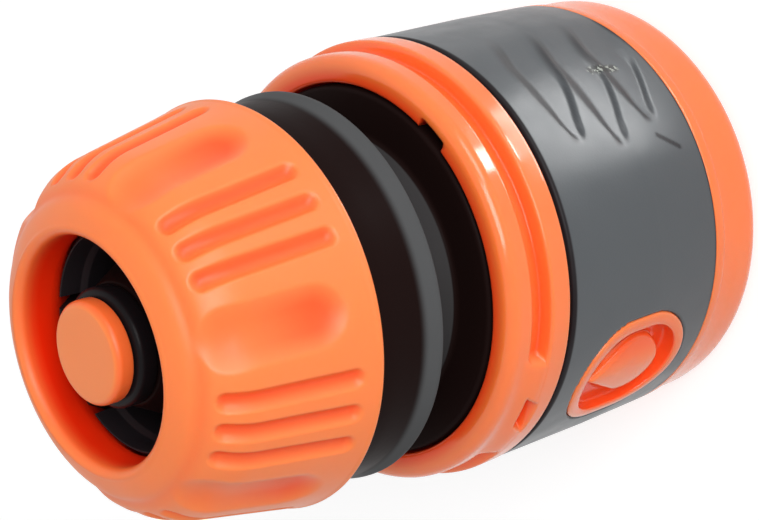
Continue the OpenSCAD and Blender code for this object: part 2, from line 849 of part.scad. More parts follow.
module hose_nut() {
    rim_round = 0.35;
    hole_arc_x = hose_hole_r + hole_round;
    hole_arc_z = nut_z1 - hole_round;
    top_a = acos((hole_arc_x - arc_x) / nut_shoulder_r);
    color(orange)
        difference() {
            turned(concat(
                [[nut_bore_r, nut_z0]],
                arc(nut_r - rim_round, nut_z0 + rim_round, rim_round, -90, 0, 3),
                arc(arc_x, arc_z, nut_shoulder_r, nut_tilt, top_a, 12),
                arc(hole_arc_x, hole_arc_z, hole_round, 90, 180, 5),
                [
                    [hose_hole_r, cone_z1],
                    [cone_r0, cone_z0],
                    [snap_r + 0.15, cone_z0],
                    [snap_r + 0.15, cone_z0 - snap_h - edge],
                    [cone_r0 + 0.05, cone_z0 - snap_h - edge],
                    [cone_r0 + 0.05, boss_z1 + 0.1],
                    [nut_bore_r, boss_z1 + 0.1]
                ]
            ));
            for (i = [0 : lobe_count - 1]) {
                a = lobe_a + 360 / lobe_count * i;
                for (k = [0 : rib_grooves - 1])
                    side_groove(a + (k - (rib_grooves - 1) / 2) * rib_step_deg, narrow_r, narrow_depth,
                        narrow_start, narrow_dip);
                side_groove(a + 180 / lobe_count, scallop_r, scallop_depth, scallop_start, scallop_dip);
            }
        }
}

hose_nut();
gripping_collet();
hose_body();
socket_barrel();
barrel_o_ring();
retaining_ring();
release_sleeve();
grip_band();
sleeve_spring();
claw(0);  // claw_1
claw(1);  // claw_2
claw(2);  // claw_3
claw(3);  // claw_4
valve_plunger();
valve_seal();
valve_foot();
valve_spring();
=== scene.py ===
"""Looks of the garden hose quick connector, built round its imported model.

Lengths are in millimetres until a mesh is made, angles round the axis are in degrees, and the axis is Z.
"""
import math

import bmesh
import bpy
import numpy as np
from mathutils import Matrix, Vector

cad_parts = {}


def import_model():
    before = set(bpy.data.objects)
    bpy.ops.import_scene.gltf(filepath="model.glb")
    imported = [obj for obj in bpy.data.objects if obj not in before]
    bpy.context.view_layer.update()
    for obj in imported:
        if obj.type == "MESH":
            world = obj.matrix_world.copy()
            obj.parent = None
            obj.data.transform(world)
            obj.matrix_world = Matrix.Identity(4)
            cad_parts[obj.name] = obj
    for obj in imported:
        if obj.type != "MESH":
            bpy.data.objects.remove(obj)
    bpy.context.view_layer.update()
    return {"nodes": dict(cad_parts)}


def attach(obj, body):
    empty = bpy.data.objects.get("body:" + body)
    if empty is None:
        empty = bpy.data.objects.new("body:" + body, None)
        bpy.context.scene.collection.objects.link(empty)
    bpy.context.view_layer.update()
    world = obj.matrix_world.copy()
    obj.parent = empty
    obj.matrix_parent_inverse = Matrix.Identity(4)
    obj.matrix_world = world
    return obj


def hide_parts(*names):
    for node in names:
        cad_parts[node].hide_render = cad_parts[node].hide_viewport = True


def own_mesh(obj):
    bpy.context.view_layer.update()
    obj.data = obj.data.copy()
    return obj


MM = 0.001

# Camera, as fitted to the photograph, in the frame of the part
CAMERA_AT = (24.94, -142.43, 148.35)
CAMERA_RIGHT = (-0.18364, -0.65080, -0.73670)
CAMERA_UP = (0.97031, 0.0, -0.24188)
CAMERA_BACK = (0.15741, -0.75925, 0.63148)
LENS = 104.35
SENSOR = 36
SHIFT_X = 0.001
SHIFT_Y = 0.0793

# Heights of the main faces, as in the model
FLANGE_BOTTOM = 29.0
SLEEVE_LEN = 31.4
RIM_Z = 36.9
DRUM_TOP = 43.4
BOSS_TOP = 49.1
SPIGOT_TOP = 55.8
NUT_BOTTOM = 43.6
NUT_TOP = 59.25

# Hose body
FLANGE_R = 15.9
DRUM_R = 15.9
RIM_R = 16.45
NECK_R = 12.1
BOSS_R = 13.45
CUP_R = 12.4
CUP_FLOOR = 39.8
SHANK_R = 6.4
SPIGOT_BORE_R = 4.2
SPRING_BORE_R = 6.3
SPIGOT_SEAT = 37.9
CHAMBER_R = 10.05
CHAMBER_TOP = 36.3
BARB_R = 6.3
BARB_ROOT_R = 5.5
SPIGOT_RIM_R = 5.16
SPIGOT_EDGE_R = 5.0
BARBS = 3
THREAD_PITCH = 3.0
THREAD_HEIGHT = 0.45

# Sleeve, with turns and half widths in degrees; a pair of half widths has a soft edge between the two
SLEEVE_BORE = 16.1
WALL_MIDDLE_R = 17.2
COLLAR_R = 18.45
COLLAR_TOP = 5.35
BEAD_R = 18.72
BEAD_BOTTOM = 5.6
BEAD_TOP = 6.6
RECESS_R = 17.8
RING_R = 19.0
RING_BOTTOM = 25.2
RING_TOP = 27.4
FLUSH_R = 18.97
LIP_R = 18.4
GROOVE_BOTTOM = 27.4
GROOVE_TOP = 28.95
GROOVE_FLOOR = 17.7
GROOVE_R = 18
GROOVE_TURN = 87.5
GROOVE_HALF = 72.5
BRIDGE_TURN = -2.5
BRIDGE_HALF = (16.0, 18.5)
NOTCH_TURN = 83.5
NOTCH_HALF = (4.7, 5.2)
NOTCH_R = 17.3
NOTCH_FLOOR = 28.9
NOTCH_END = 28.6
CAM_TOP = 14.0
CAM_TOP_R = 13.1
CAM_LOW = 3.1
CAM_LOW_R = 15.7
END_HOLE_R = 12.5
COUNTERBORE_R = 14.1
COUNTERBORE_LEN = 2.0
BADGE_SINK = 1.1

# Corners of the skewed slot, as distance round the sleeve from a badge's middle, and height
WINDOW = [(0.3, 26.95), (1.06, 28.3), (-2.0, 28.2), (-2.7, 27.1)]
WINDOW_R = 18.3

# Grip band, with the two badges that stand through it
BAND_BOTTOM = 6.65
BAND_TOP = 24.75
BAND_R = 18.9
BAND_INNER_R = 17.85
BAND_CUT_R = 17.9
BADGES = (-132, 48)
BADGE_Z = 15.5
BADGE_R = 5.6
BADGE_HALF = 1.0
BADGE_RIM = 1.15
BADGE_FLOOR = 17.45
BADGE_BASE = 16.9
DROP_R = 2.9
DROP_TIP = 5.7
DROP_LOW = -1.0
FLUTES = ((-24.5, 20.1), (-28.5, 15.6), (-24.0, 11.2))
FLUTE_END = 18.5
FLUTE_WIDTH = 3.4
FLUTE_DEPTH = 0.32
SLASH = ((-69.2, 10.94), (-73.6, 8.92))
SCUFF = ((-46.1, 13.0), (-46.9, 10.5))

# Nut
NUT_R = 17.0
NUT_TAPER = 0.2
NUT_RIM = 0.35
NUT_BORE_R = 14.3
SHOULDER_R = 7.0
SHOULDER_SHARE = 0.987
HOLE_R = 9.25
HOLE_EDGE = 0.9
HOLE_LEN = 2.9
CREASE_R = 12.4
LOBES = 6
LOBE_AT = -58.5
RIB_STEP = 10.5
RIB_R = 0.95
RIB_DEPTH = 0.55
RIB_START = 1.8
RIB_TOP = 57.1
SCALLOP_R = 5.6
SCALLOP_DEPTH = 0.8
SCALLOP_START = 2.7
SCALLOP_TOP = 57.8

# Gripping collet, and the nut's cone that closes it
COLLET_BOTTOM = BOSS_TOP + 0.2
COLLET_TOP = COLLET_BOTTOM + 1.4
COLLET_PLAY = 0.15
CONE_TOP = NUT_TOP - HOLE_EDGE - HOLE_LEN
CONE_R = 12.8
SNAP_LEN = 0.95
JAWS = 6
JAW_AT = 9
JAW_PLAY = 0.3
JAW_SLOT = 1.1
JAW_SLOT_R = 9.6
JAW_GAP = math.degrees(JAW_SLOT / JAW_SLOT_R)

# Valve
STEM_R = 1.6
STEM_BOTTOM = 24.7
HEAD_R = 4.2
HEAD_BOTTOM = 57.65
VALVE_RIB_R = 4.0
VALVE_RIB_HALF = 0.6
VALVE_RIB_BOTTOM = 38.4
VALVE_RIB_TOP = 55.2

# Springs, each with its wire, its turns, the room it has and the travel that shortens it
BARREL_R = 12.2
SPRING_PLAY = 0.05
SLEEVE_WIRE = 1.2
SLEEVE_TURNS = 6
SLEEVE_ROOM = 15.0
SLEEVE_TRAVEL = 5.0
VALVE_COIL_R = 5.0
VALVE_WIRE = 0.8
VALVE_TURNS = 7
VALVE_FOOT_TOP = 26.5
VALVE_ROOM = 11.4
VALVE_TRAVEL = 4.0

# Divisions round the axis, few enough to keep each piece under 200,000 triangles
NUT_COLUMNS = 720
BODY_COLUMNS = 432
SLEEVE_COLUMNS = 500
BAND_COLUMNS = 560
SMALL_RING_COLUMNS = 180
PLUNGER_COLUMNS = 120
JAW_COLUMNS = 12
BADGE_COLUMNS = 144

# Stage, with the floor's half width in metres
FLOOR_HALF = 1.5
FLOOR_SHADE = 0.6
FLOOR_GLOW = 0.6
AMBIENT = 0.5
LIT_HEIGHT = 30

# Finishes, with the deep red-orange that the orange parts take as painted shade
PAINTED_SHADE_ORANGE = (1.0, 0.02, 0.001)
CLOUD_SHADE = 0.6
GROOVE_GLOSS = 0.3
EDGE_ROUNDING = 0.12

# Fillets up to this size get coarser steps
SMALL_FILLET = 0.3

# Stands for the distance to a shape on the other side of the axis
FAR = 99


def smooth(x, low, high):
    """Rises smoothly from 0 at low to 1 at high."""
    t = np.clip((x - low) / (high - low), 0, 1)
    return t * t * (3 - 2 * t)


def soft_positive(x, width):
    """x where it is above 0, else 0, with the edge rounded over about that width."""
    return np.maximum(x, 0) + width * np.log1p(np.exp(-np.abs(x) / width))


def turn(angle, centre):
    """Angle measured from a centre, between -180 and 180."""
    return (angle - centre + 180) % 360 - 180


# Meshes


def fillet_arc(here, to_prev, to_next, half, reach, steps_of):
    """Points of the round that joins two sides at a corner."""
    radius = reach * math.tan(half)
    middle = (to_prev + to_next) / np.linalg.norm(to_prev + to_next)
    centre = here + middle * radius / math.sin(half)
    start = here + to_prev * reach - centre
    end = here + to_next * reach - centre
    sweep = math.pi - 2 * half
    steps = max(2, math.ceil(math.degrees(sweep) / steps_of))
    arc = []
    for k in range(steps + 1):
        part = k / steps * sweep
        arc.append(centre + (math.sin(sweep - part) * start + math.sin(part) * end) / math.sin(sweep))
    return arc


def rounded(corners, step=2.0, arc_step=15):
    """Closed outline from corners (r, z, fillet) or (r, z, fillet, step to the next corner)."""
    count = len(corners)
    under_half = 0.49
    points = []
    for i, (r, z, fillet, *gap) in enumerate(corners):
        here = np.array((r, z), float)
        to_prev = np.array(corners[i - 1][:2], float) - here
        to_next = np.array(corners[(i + 1) % count][:2], float) - here
        len_prev, len_next = np.linalg.norm(to_prev), np.linalg.norm(to_next)
        to_prev, to_next = to_prev / len_prev, to_next / len_next
        half = math.acos(np.clip(to_prev @ to_next, -1, 1)) / 2
        arc = [here]
        if fillet:
            reach = min(fillet / math.tan(half), under_half * len_prev, under_half * len_next)
            steps_of = arc_step if fillet > SMALL_FILLET else 2 * arc_step
            arc = fillet_arc(here, to_prev, to_next, half, reach, steps_of)
        points.append((arc, gap[0] if gap else step))
    outline = []
    for i, (arc, gap) in enumerate(points):
        outline += arc
        start, end = arc[-1], points[(i + 1) % count][0][0]
        pieces = max(1, math.ceil(np.linalg.norm(end - start) / gap - 1e-6))
        outline += [start + (end - start) * k / pieces for k in range(1, pieces)]
    return np.array(outline)


def arc_points(middle, radius, angles):
    """Points (r, z) on a circle, at angles in radians."""
    return [(middle[0] + radius * math.cos(a), middle[1] + radius * math.sin(a)) for a in angles]


def add_share(mesh, name, values):
    """A share per vertex, which a material reads by this name."""
    attribute = mesh.attributes.new(name, "FLOAT", "POINT")
    attribute.data.foreach_set("value", np.asarray(values, np.float32).ravel())


def mesh_object(name, vertices, faces, painted_light=None):
    """Smooth mesh from vertices in millimetres; the last argument is a share per vertex of painted shade or
    highlight, which materials read.
    """
    mesh = bpy.data.meshes.new(name)
    mesh.from_pydata((np.asarray(vertices) * MM).tolist(), [], faces)
    mesh.polygons.foreach_set("use_smooth", np.ones(len(mesh.polygons), bool))
    if painted_light is not None:
        add_share(mesh, "painted_light", painted_light)
    mesh.update()
    piece = bpy.data.objects.new(name, mesh)
    bpy.context.scene.collection.objects.link(piece)
    return piece


def turned_points(r, turned, z):
    """Rows of points from radii, angles in radians and heights."""
    return np.stack([r * np.cos(turned), r * np.sin(turned), z], -1).reshape(-1, 3)


def grid_faces(rows, columns):
    """Quads of a grid that closes on itself both ways."""
    i, j = np.meshgrid(np.arange(rows), np.arange(columns), indexing="ij")
    k, m = (i + 1) % rows, (j + 1) % columns
    corners = [i * columns + j, k * columns + j, k * columns + m, i * columns + m]
    return np.stack(corners, -1).reshape(-1, 4).tolist()


def ended_faces(rows, columns):
    """Quads of a tube of rows, with a flat face at each end."""
    faces = [f for f in grid_faces(rows, columns) if max(f) - min(f) < 2 * columns]
    faces.append(list(range(columns))[::-1])
    faces.append([(rows - 1) * columns + k for k in range(columns)])
    return faces


def lathe(name, outline, around, shape=None):
    """Turns an outline, given anticlockwise, round the axis. shape(angle, r, z) gives new r, z and the share
    of painted shade or highlight.
    """
    angle = np.arange(around)[:, None] * 360 / around + np.zeros((1, len(outline)))
    r = np.zeros((around, 1)) + outline[None, :, 0]
    z = np.zeros((around, 1)) + outline[None, :, 1]
    painted_light = np.zeros_like(r)
    if shape:
        r, z, painted_light = shape(angle, r, z)
    vertices = turned_points(r, np.radians(angle), z)
    piece = mesh_object(name, vertices, grid_faces(around, len(outline)), painted_light)
    if outline[:, 0].min() < 1e-6:
        close_on_axis(piece.data)
    return piece


def close_on_axis(mesh):
    """Merges the points that lie on the axis into one at each height."""
    work = bmesh.new()
    work.from_mesh(mesh)
    bmesh.ops.remove_doubles(work, verts=work.verts, dist=1e-7)
    work.to_mesh(mesh)
    work.free()


def joined(name, pieces):
    """One object made of several, which are used up."""
    with bpy.context.temp_override(active_object=pieces[0], selected_editable_objects=pieces):
        bpy.ops.object.join()
    pieces[0].name = name
    pieces[0].data.name = name
    return pieces[0]


def sector(name, outline, start, sweep, steps):
    """An outline turned through part of a circle, with flat ends."""
    turned = np.radians(start + sweep * np.arange(steps + 1) / steps)[:, None]
    r = outline[None, :, 0]
    z = outline[None, :, 1] + np.zeros((steps + 1, 1))
    piece = mesh_object(name, turned_points(r, turned, z), ended_faces(steps + 1, len(outline)))
    piece.data.set_sharp_from_angle(angle=math.radians(35))
    return piece


def coil(name, mean_r, wire, bottom, top, turns, steps=72, sides=14):
    """Round wire wound round the axis, with one closed turn at each end."""
    rise = top - bottom - wire
    flat = wire * 1.02
    slope = (rise - 2 * flat) / (turns - 2)
    t = np.linspace(0, turns, int(turns * steps) + 1)
    height = np.where(t < 1, flat * t, flat + slope * (t - 1))
    height = np.where(t > turns - 1, rise - flat * (turns - t), height)
    v = np.arange(sides) * 2 * math.pi / sides
    r = mean_r + wire / 2 * np.cos(v)[None]
    z = bottom + wire / 2 + height[:, None] + wire / 2 * np.sin(v)[None]
    vertices = turned_points(r, 2 * math.pi * t[:, None], z)
    return mesh_object(name, vertices, ended_faces(len(t), sides))


# Materials


def new_material(name):
    """A material, with its nodes, links and shader."""
    made = bpy.data.materials.new(name)
    made.use_nodes = True
    nodes = made.node_tree.nodes
    return made, nodes, made.node_tree.links, nodes["Principled BSDF"]


def vertex_share(nodes, name):
    """A share that the mesh carries per vertex."""
    node = nodes.new("ShaderNodeAttribute")
    node.attribute_name = name
    return node.outputs["Fac"]


def noise(nodes, links, scale, detail, stretch=None):
    """Noise in the frame's own coordinates; scale is in bumps per metre."""
    place = nodes.new("ShaderNodeTexCoord")
    texture = nodes.new("ShaderNodeTexNoise")
    texture.inputs["Scale"].default_value = scale
    texture.inputs["Detail"].default_value = detail
    source = place.outputs["Object"]
    if stretch:
        mapping = nodes.new("ShaderNodeMapping")
        mapping.inputs["Scale"].default_value = stretch
        links.new(source, mapping.inputs["Vector"])
        source = mapping.outputs["Vector"]
    links.new(source, texture.inputs["Vector"])
    return texture.outputs["Fac"]


def ranged(nodes, links, source, low, high, from_low=0.3, from_high=0.7):
    """Spreads a value over a new range; the usual limits are those of noise."""
    node = nodes.new("ShaderNodeMapRange")
    node.inputs["From Min"].default_value = from_low
    node.inputs["From Max"].default_value = from_high
    node.inputs["To Min"].default_value = low
    node.inputs["To Max"].default_value = high
    links.new(source, node.inputs["Value"])
    return node.outputs["Result"]


def mixed(nodes, links, factor, first, second):
    """A blend of two colours, each a colour or a socket."""
    node = nodes.new("ShaderNodeMix")
    node.data_type = "RGBA"
    for socket, value in ((node.inputs[0], factor), (node.inputs[6], first), (node.inputs[7], second)):
        if isinstance(value, bpy.types.NodeSocket):
            links.new(value, socket)
        else:
            socket.default_value = (*value, 1)
    return node.outputs[2]


def add_bump(nodes, links, shader, height, distance, normal=None):
    """Fine relief, with its height in millimetres."""
    bump = nodes.new("ShaderNodeBump")
    bump.inputs["Strength"].default_value = 1.0
    bump.inputs["Distance"].default_value = distance * MM
    links.new(height, bump.inputs["Height"])
    if normal:
        links.new(normal, bump.inputs["Normal"])
    links.new(bump.outputs["Normal"], shader.inputs["Normal"])


def plastic(name, colour, painted_light_colour, rough, grain, specular=0.5, subsurface=0.0):
    """Moulded plastic: its colour shifts towards a painted shade or highlight colour with the painted light
    share, with a fine grain and slightly uneven gloss.
    """
    made, nodes, links, shader = new_material(name)
    painted_light = vertex_share(nodes, "painted_light")
    # Painted shade or highlight: the colour goes towards the second colour with the painted light share, and
    # the gloss drops there
    base = mixed(nodes, links, painted_light, colour, painted_light_colour)
    cloud = ranged(nodes, links, noise(nodes, links, scale=90, detail=3), low=0.0, high=0.10)
    shade = mixed(nodes, links, cloud, base, tuple(CLOUD_SHADE * c for c in colour))
    gloss = ranged(nodes, links, noise(nodes, links, scale=160, detail=4), *rough)
    shine = ranged(nodes, links, painted_light, specular, GROOVE_GLOSS * specular, from_low=0, from_high=1)
    links.new(shade, shader.inputs["Base Color"])
    links.new(gloss, shader.inputs["Roughness"])
    links.new(shine, shader.inputs["Specular IOR Level"])
    if subsurface:
        shader.inputs["Subsurface Weight"].default_value = subsurface
        shader.inputs["Subsurface Radius"].default_value = (1.0, 0.2, 0.06)
        shader.inputs["Subsurface Scale"].default_value = 2.0 * MM
    bevel = nodes.new("ShaderNodeBevel")
    bevel.samples = 4
    bevel.inputs["Radius"].default_value = EDGE_ROUNDING * MM
    relief = noise(nodes, links, scale=grain[0], detail=4)
    add_bump(nodes, links, shader, relief, grain[1], bevel.outputs["Normal"])
    return made


def grip_rubber(name):
    """Soft-touch elastomer: matt slate grey with fine grain, faint sheen, painted shade and a small scuff."""
    slate = (0.062, 0.07, 0.077)
    cloudy = (0.05, 0.056, 0.062)
    shadow = (0.012, 0.008, 0.009)
    mark_dark = (0.004, 0.005, 0.004)
    mark_pale = (0.3, 0.32, 0.28)
    made, nodes, links, shader = new_material(name)
    painted_light = vertex_share(nodes, "painted_light")
    # Painted shade: the grey goes towards the shadow colour with the painted light share
    base = mixed(nodes, links, painted_light, slate, shadow)
    cloud = ranged(nodes, links, noise(nodes, links, scale=120, detail=5), low=0.0, high=0.25)
    shade = mixed(nodes, links, cloud, base, cloudy)
    speckle = noise(nodes, links, scale=2600, detail=2)
    flecks = ranged(nodes, links, speckle, 0.0, 1.0, from_low=0.54, from_high=0.6)
    marks = mixed(nodes, links, flecks, mark_dark, mark_pale)
    worn = mixed(nodes, links, vertex_share(nodes, "scuff"), shade, marks)
    gloss = ranged(nodes, links, noise(nodes, links, scale=300, detail=5), low=0.31, high=0.42)
    shine = ranged(nodes, links, painted_light, low=0.42, high=0.1, from_low=0, from_high=1)
    links.new(worn, shader.inputs["Base Color"])
    links.new(gloss, shader.inputs["Roughness"])
    links.new(shine, shader.inputs["Specular IOR Level"])
    shader.inputs["Sheen Weight"].default_value = 0.03
    shader.inputs["Sheen Roughness"].default_value = 0.45
    add_bump(nodes, links, shader, noise(nodes, links, scale=5200, detail=4), distance=0.006)
    return made


def steel(name):
    """Drawn stainless wire, with fine lines round the axis."""
    made, nodes, links, shader = new_material(name)
    shader.inputs["Base Color"].default_value = (0.62, 0.62, 0.63, 1)
    shader.inputs["Metallic"].default_value = 1.0
    lines = noise(nodes, links, scale=900, detail=3, stretch=(1, 1, 12))
    links.new(ranged(nodes, links, lines, low=0.22, high=0.42), shader.inputs["Roughness"])
    add_bump(nodes, links, shader, lines, distance=0.004)
    return made


def make_materials():
    """All finishes by name. Each plastic has a roughness range, and a grain's scale and height."""
    made = {"grey_grip": grip_rubber("grey_grip"), "spring_steel": steel("spring_steel")}
    oranges = (
        ("orange_nut", (1.0, 0.225, 0.05), (0.36, 0.46), (1600, 0.006), 0.25),
        ("orange_sleeve", (1.0, 0.2, 0.042), (0.13, 0.2), (1400, 0.002), 0.25),
        ("orange_plunger", (1.0, 0.25, 0.055), (0.34, 0.42), (1500, 0.004), 0.2),
    )
    for name, colour, rough, grain, subsurface in oranges:
        made[name] = plastic(name, colour, PAINTED_SHADE_ORANGE, rough, grain, subsurface=subsurface)
    # Each black's second colour is its painted light colour; the body's lighter grey is a painted highlight
    # on the flare and neck
    blacks = (
        ("black_body", (0.011, 0.005, 0.0045), (0.088, 0.09, 0.092), (0.34, 0.44), (1800, 0.006), 0.02),
        ("black_collet", (0.012, 0.01, 0.012), (0.03, 0.03, 0.03), (0.4, 0.5), (1800, 0.006), 0.25),
        ("black_seal", (0.008, 0.007, 0.008), (0.02, 0.02, 0.02), (0.3, 0.4), (2200, 0.003), 0.08),
    )
    for name, colour, painted_light_colour, rough, grain, specular in blacks:
        made[name] = plastic(name, colour, painted_light_colour, rough, grain, specular=specular)
    return made


# Hose nut


def nut_side(z):
    """Radius of the nut's tapered side."""
    return NUT_R - NUT_TAPER * (z - NUT_BOTTOM)


def cone_r(z):
    """Radius of the nut's cone, which closes the jaws."""
    low = COLLET_TOP + COLLET_PLAY
    return CONE_R - (CONE_R - HOLE_R) / (CONE_TOP - low) * (z - low)


def nut_outline():
    """Outer side first, anticlockwise, and how many of its points take the grooves."""
    lean = math.atan(NUT_TAPER)
    arc_z = NUT_TOP - SHOULDER_R * SHOULDER_SHARE
    arc_r = nut_side(arc_z) - SHOULDER_R / math.cos(lean)
    arc_end = math.acos((HOLE_R + HOLE_EDGE - arc_r) / SHOULDER_R)
    side_low, side_high = NUT_BOTTOM + NUT_RIM + 0.2, arc_z + SHOULDER_R * math.sin(lean)
    rim_middle = (NUT_R - NUT_RIM, NUT_BOTTOM + NUT_RIM)
    edge_middle = (HOLE_R + HOLE_EDGE, NUT_TOP - HOLE_EDGE)
    outer = arc_points(rim_middle, NUT_RIM, np.radians(np.linspace(-90, 0, 5)))
    outer += [(nut_side(z), z) for z in np.linspace(side_low, side_high, 42)[:-1]]
    outer += arc_points((arc_r, arc_z), SHOULDER_R, np.linspace(lean, arc_end, 44))
    cut = len(outer)
    outer += arc_points(edge_middle, HOLE_EDGE, np.radians(np.linspace(90, 180, 8))[1:])
    cone_bottom = COLLET_TOP + COLLET_PLAY
    snap_r, snap_z = CONE_R + 0.5, cone_bottom - SNAP_LEN
    neck_r = CONE_R + 0.05
    inner = [(HOLE_R, z) for z in np.linspace(NUT_TOP - HOLE_EDGE - 0.6, CONE_TOP, 5)]
    inner += [(CONE_R, cone_bottom), (snap_r, cone_bottom), (snap_r, snap_z), (neck_r, snap_z)]
    inner += [(neck_r, BOSS_TOP + 0.1), (NUT_BORE_R, BOSS_TOP + 0.1)]
    inner += [(NUT_BORE_R, z) for z in np.arange(BOSS_TOP - 0.1, NUT_BOTTOM + 0.4, -0.25)]
    inner += [(NUT_BORE_R + 0.2, NUT_BOTTOM)]
    return np.array(outer + inner), cut


def groove_depth(angle, r, along, at, radius, depth, start, end):
    """Depth of a groove with a round section and round ends, between two distances along the nut's side."""
    half = math.sqrt(radius ** 2 - (radius - depth) ** 2)
    across = r * np.radians(turn(angle, at))
    beyond = np.maximum(np.maximum(start + half - along, along - end + half), 0)
    room = np.clip(radius ** 2 - across ** 2 - beyond ** 2, 0, None)
    return np.sqrt(room) - (radius - depth) - across ** 2 / (2 * r)


def thread_height(angle, z, low, high):
    """Share of a right-hand ridge's height, running out at both ends."""
    phase = (z - low) / THREAD_PITCH - angle / 360
    off = np.abs(phase - np.round(phase)) * THREAD_PITCH
    return smooth(-off, -0.85, -0.45) * smooth(z, low, low + 0.7) * smooth(-z, -high, -high + 0.7)


def hose_nut(materials):
    """Nut with six groups of three narrow grooves, a wide scallop between groups, and a screw in its bore."""
    outline, cut = nut_outline()
    on_side = np.arange(len(outline)) < cut
    run = np.gradient(outline[:cut], axis=0)
    run /= np.linalg.norm(run, axis=1)[:, None]
    inward = np.zeros((len(outline), 2))
    inward[:cut] = np.stack([-run[:, 1], run[:, 0]], 1)
    along = np.zeros(len(outline))
    along[1:cut] = np.cumsum(np.linalg.norm(np.diff(outline[:cut], axis=0), axis=1))
    side_z, side_along = outline[5:cut, 1], along[5:cut]
    ribs_end = np.interp(RIB_TOP, side_z, side_along)
    scallops_end = np.interp(SCALLOP_TOP, side_z, side_along)
    rim_run = np.interp(NUT_BOTTOM + 1, side_z, side_along) - 1
    rib_span = (RIB_START + rim_run, ribs_end)
    scallop_span = (SCALLOP_START + rim_run, scallops_end)

    def shape(angle, r, z):
        """Sinks the grooves square to the side, cuts the screw and paints shade into the grooves, the crease
        and the hole's wall.
        """
        sunk, painted_shade = np.zeros_like(angle), np.zeros_like(angle)
        # Painted shade in the scallops grows towards the nut's bottom
        shade_to_rear = smooth(-z, -(NUT_BOTTOM + 11), -(NUT_BOTTOM + 4))
        for i in range(LOBES):
            at = LOBE_AT + i * 360 / LOBES
            for k in (-1, 0, 1):
                rib_at = at + k * RIB_STEP
                rib = soft_positive(groove_depth(angle, r, along, rib_at, RIB_R, RIB_DEPTH, *rib_span), 0.05)
                # Painted shade in each narrow groove, darker on one wall than the other
                one_wall_shade = 1 + 0.6 * np.clip(turn(angle, rib_at) / 3.5, -1, 1)
                sunk = np.maximum(sunk, rib)
                painted_shade = np.maximum(painted_shade, np.clip(0.95 * rib, 0, 0.5) * one_wall_shade)
            scallop_at = at + 180 / LOBES
            scallop = groove_depth(angle, r, along, scallop_at, SCALLOP_R, SCALLOP_DEPTH, *scallop_span)
            scallop = soft_positive(scallop, 0.06)
            sunk = np.maximum(sunk, scallop)
            painted_shade = np.maximum(painted_shade, np.clip(0.9 * scallop, 0, 0.6) * (0.35 + 0.65 * shade_to_rear))
        crease = np.exp(-((r - CREASE_R) / 0.5) ** 2) * (z > NUT_TOP - 4)
        sunk = (sunk + 0.2 * crease) * on_side
        bore = (np.abs(r - NUT_BORE_R) < 0.01) & ~on_side
        ridge = thread_height(angle, z, NUT_BOTTOM + 0.3, BOSS_TOP)
        cut_in = 0.25 * (1 - ridge) * smooth(z, NUT_BOTTOM + 0.4, NUT_BOTTOM + 1.2)
        wall = ~on_side & (z > BOSS_TOP)
        # Painted shade: deep red-orange down the hole's wall, fading towards its mouth, and a little in the
        # crease
        hole_painted_shade = 1 - 0.95 * smooth(z, NUT_TOP - 2.0, NUT_TOP + 0.1)
        painted_light = np.where(wall, hole_painted_shade, (painted_shade + 0.15 * crease) * on_side)
        return r + sunk * inward[:, 0] - np.where(bore, cut_in, 0), z + sunk * inward[:, 1], painted_light

    piece = lathe("nut_shell", outline, NUT_COLUMNS, shape)
    piece.data.materials.append(materials["orange_nut"])
    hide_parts("hose_nut")
    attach(piece, "nut")


# Gripping collet


def gripping_collet(materials):
    """Ring that snaps into the nut, with six jaws that have two broad steps inside."""
    ring_inner, ring_r, snap_r = 9.2, 12.5, 13.0
    snap_z = COLLET_TOP - 0.65
    ring = rounded([
        (ring_inner, COLLET_BOTTOM, 0.2), (ring_r, COLLET_BOTTOM, 0.2), (ring_r, snap_z, 0.02),
        (snap_r, snap_z, 0.1), (snap_r, COLLET_TOP, 0.2), (ring_inner, COLLET_TOP, 0.1),
    ])
    tip = CONE_TOP - 0.1
    foot = COLLET_TOP - 0.3
    middle = (tip + COLLET_TOP) / 2
    foot_r = cone_r(COLLET_TOP + 0.4) - JAW_PLAY
    tip_r = cone_r(tip) - JAW_PLAY
    step_r, bite_r = 8.9, 8.4
    jaw = rounded([
        (foot_r, foot, 0), (foot_r, COLLET_TOP + 0.3, 0), (tip_r, tip, 0.12), (step_r, tip, 0.15),
        (step_r - 0.15, middle + 0.5, 0.1), (bite_r, middle, 0.1), (bite_r, foot, 0.04),
    ])
    pieces = [lathe("collet_ring", ring, SMALL_RING_COLUMNS)]
    for i in range(JAWS):
        start = JAW_AT + i * 360 / JAWS + JAW_GAP / 2
        pieces.append(sector(f"jaw_{i}", jaw, start, 360 / JAWS - JAW_GAP, JAW_COLUMNS))
    piece = joined("collet_jaws", pieces)
    piece.data.materials.clear()
    piece.data.materials.append(materials["black_collet"])
    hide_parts("gripping_collet")
    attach(piece, "collet")


# Hose body


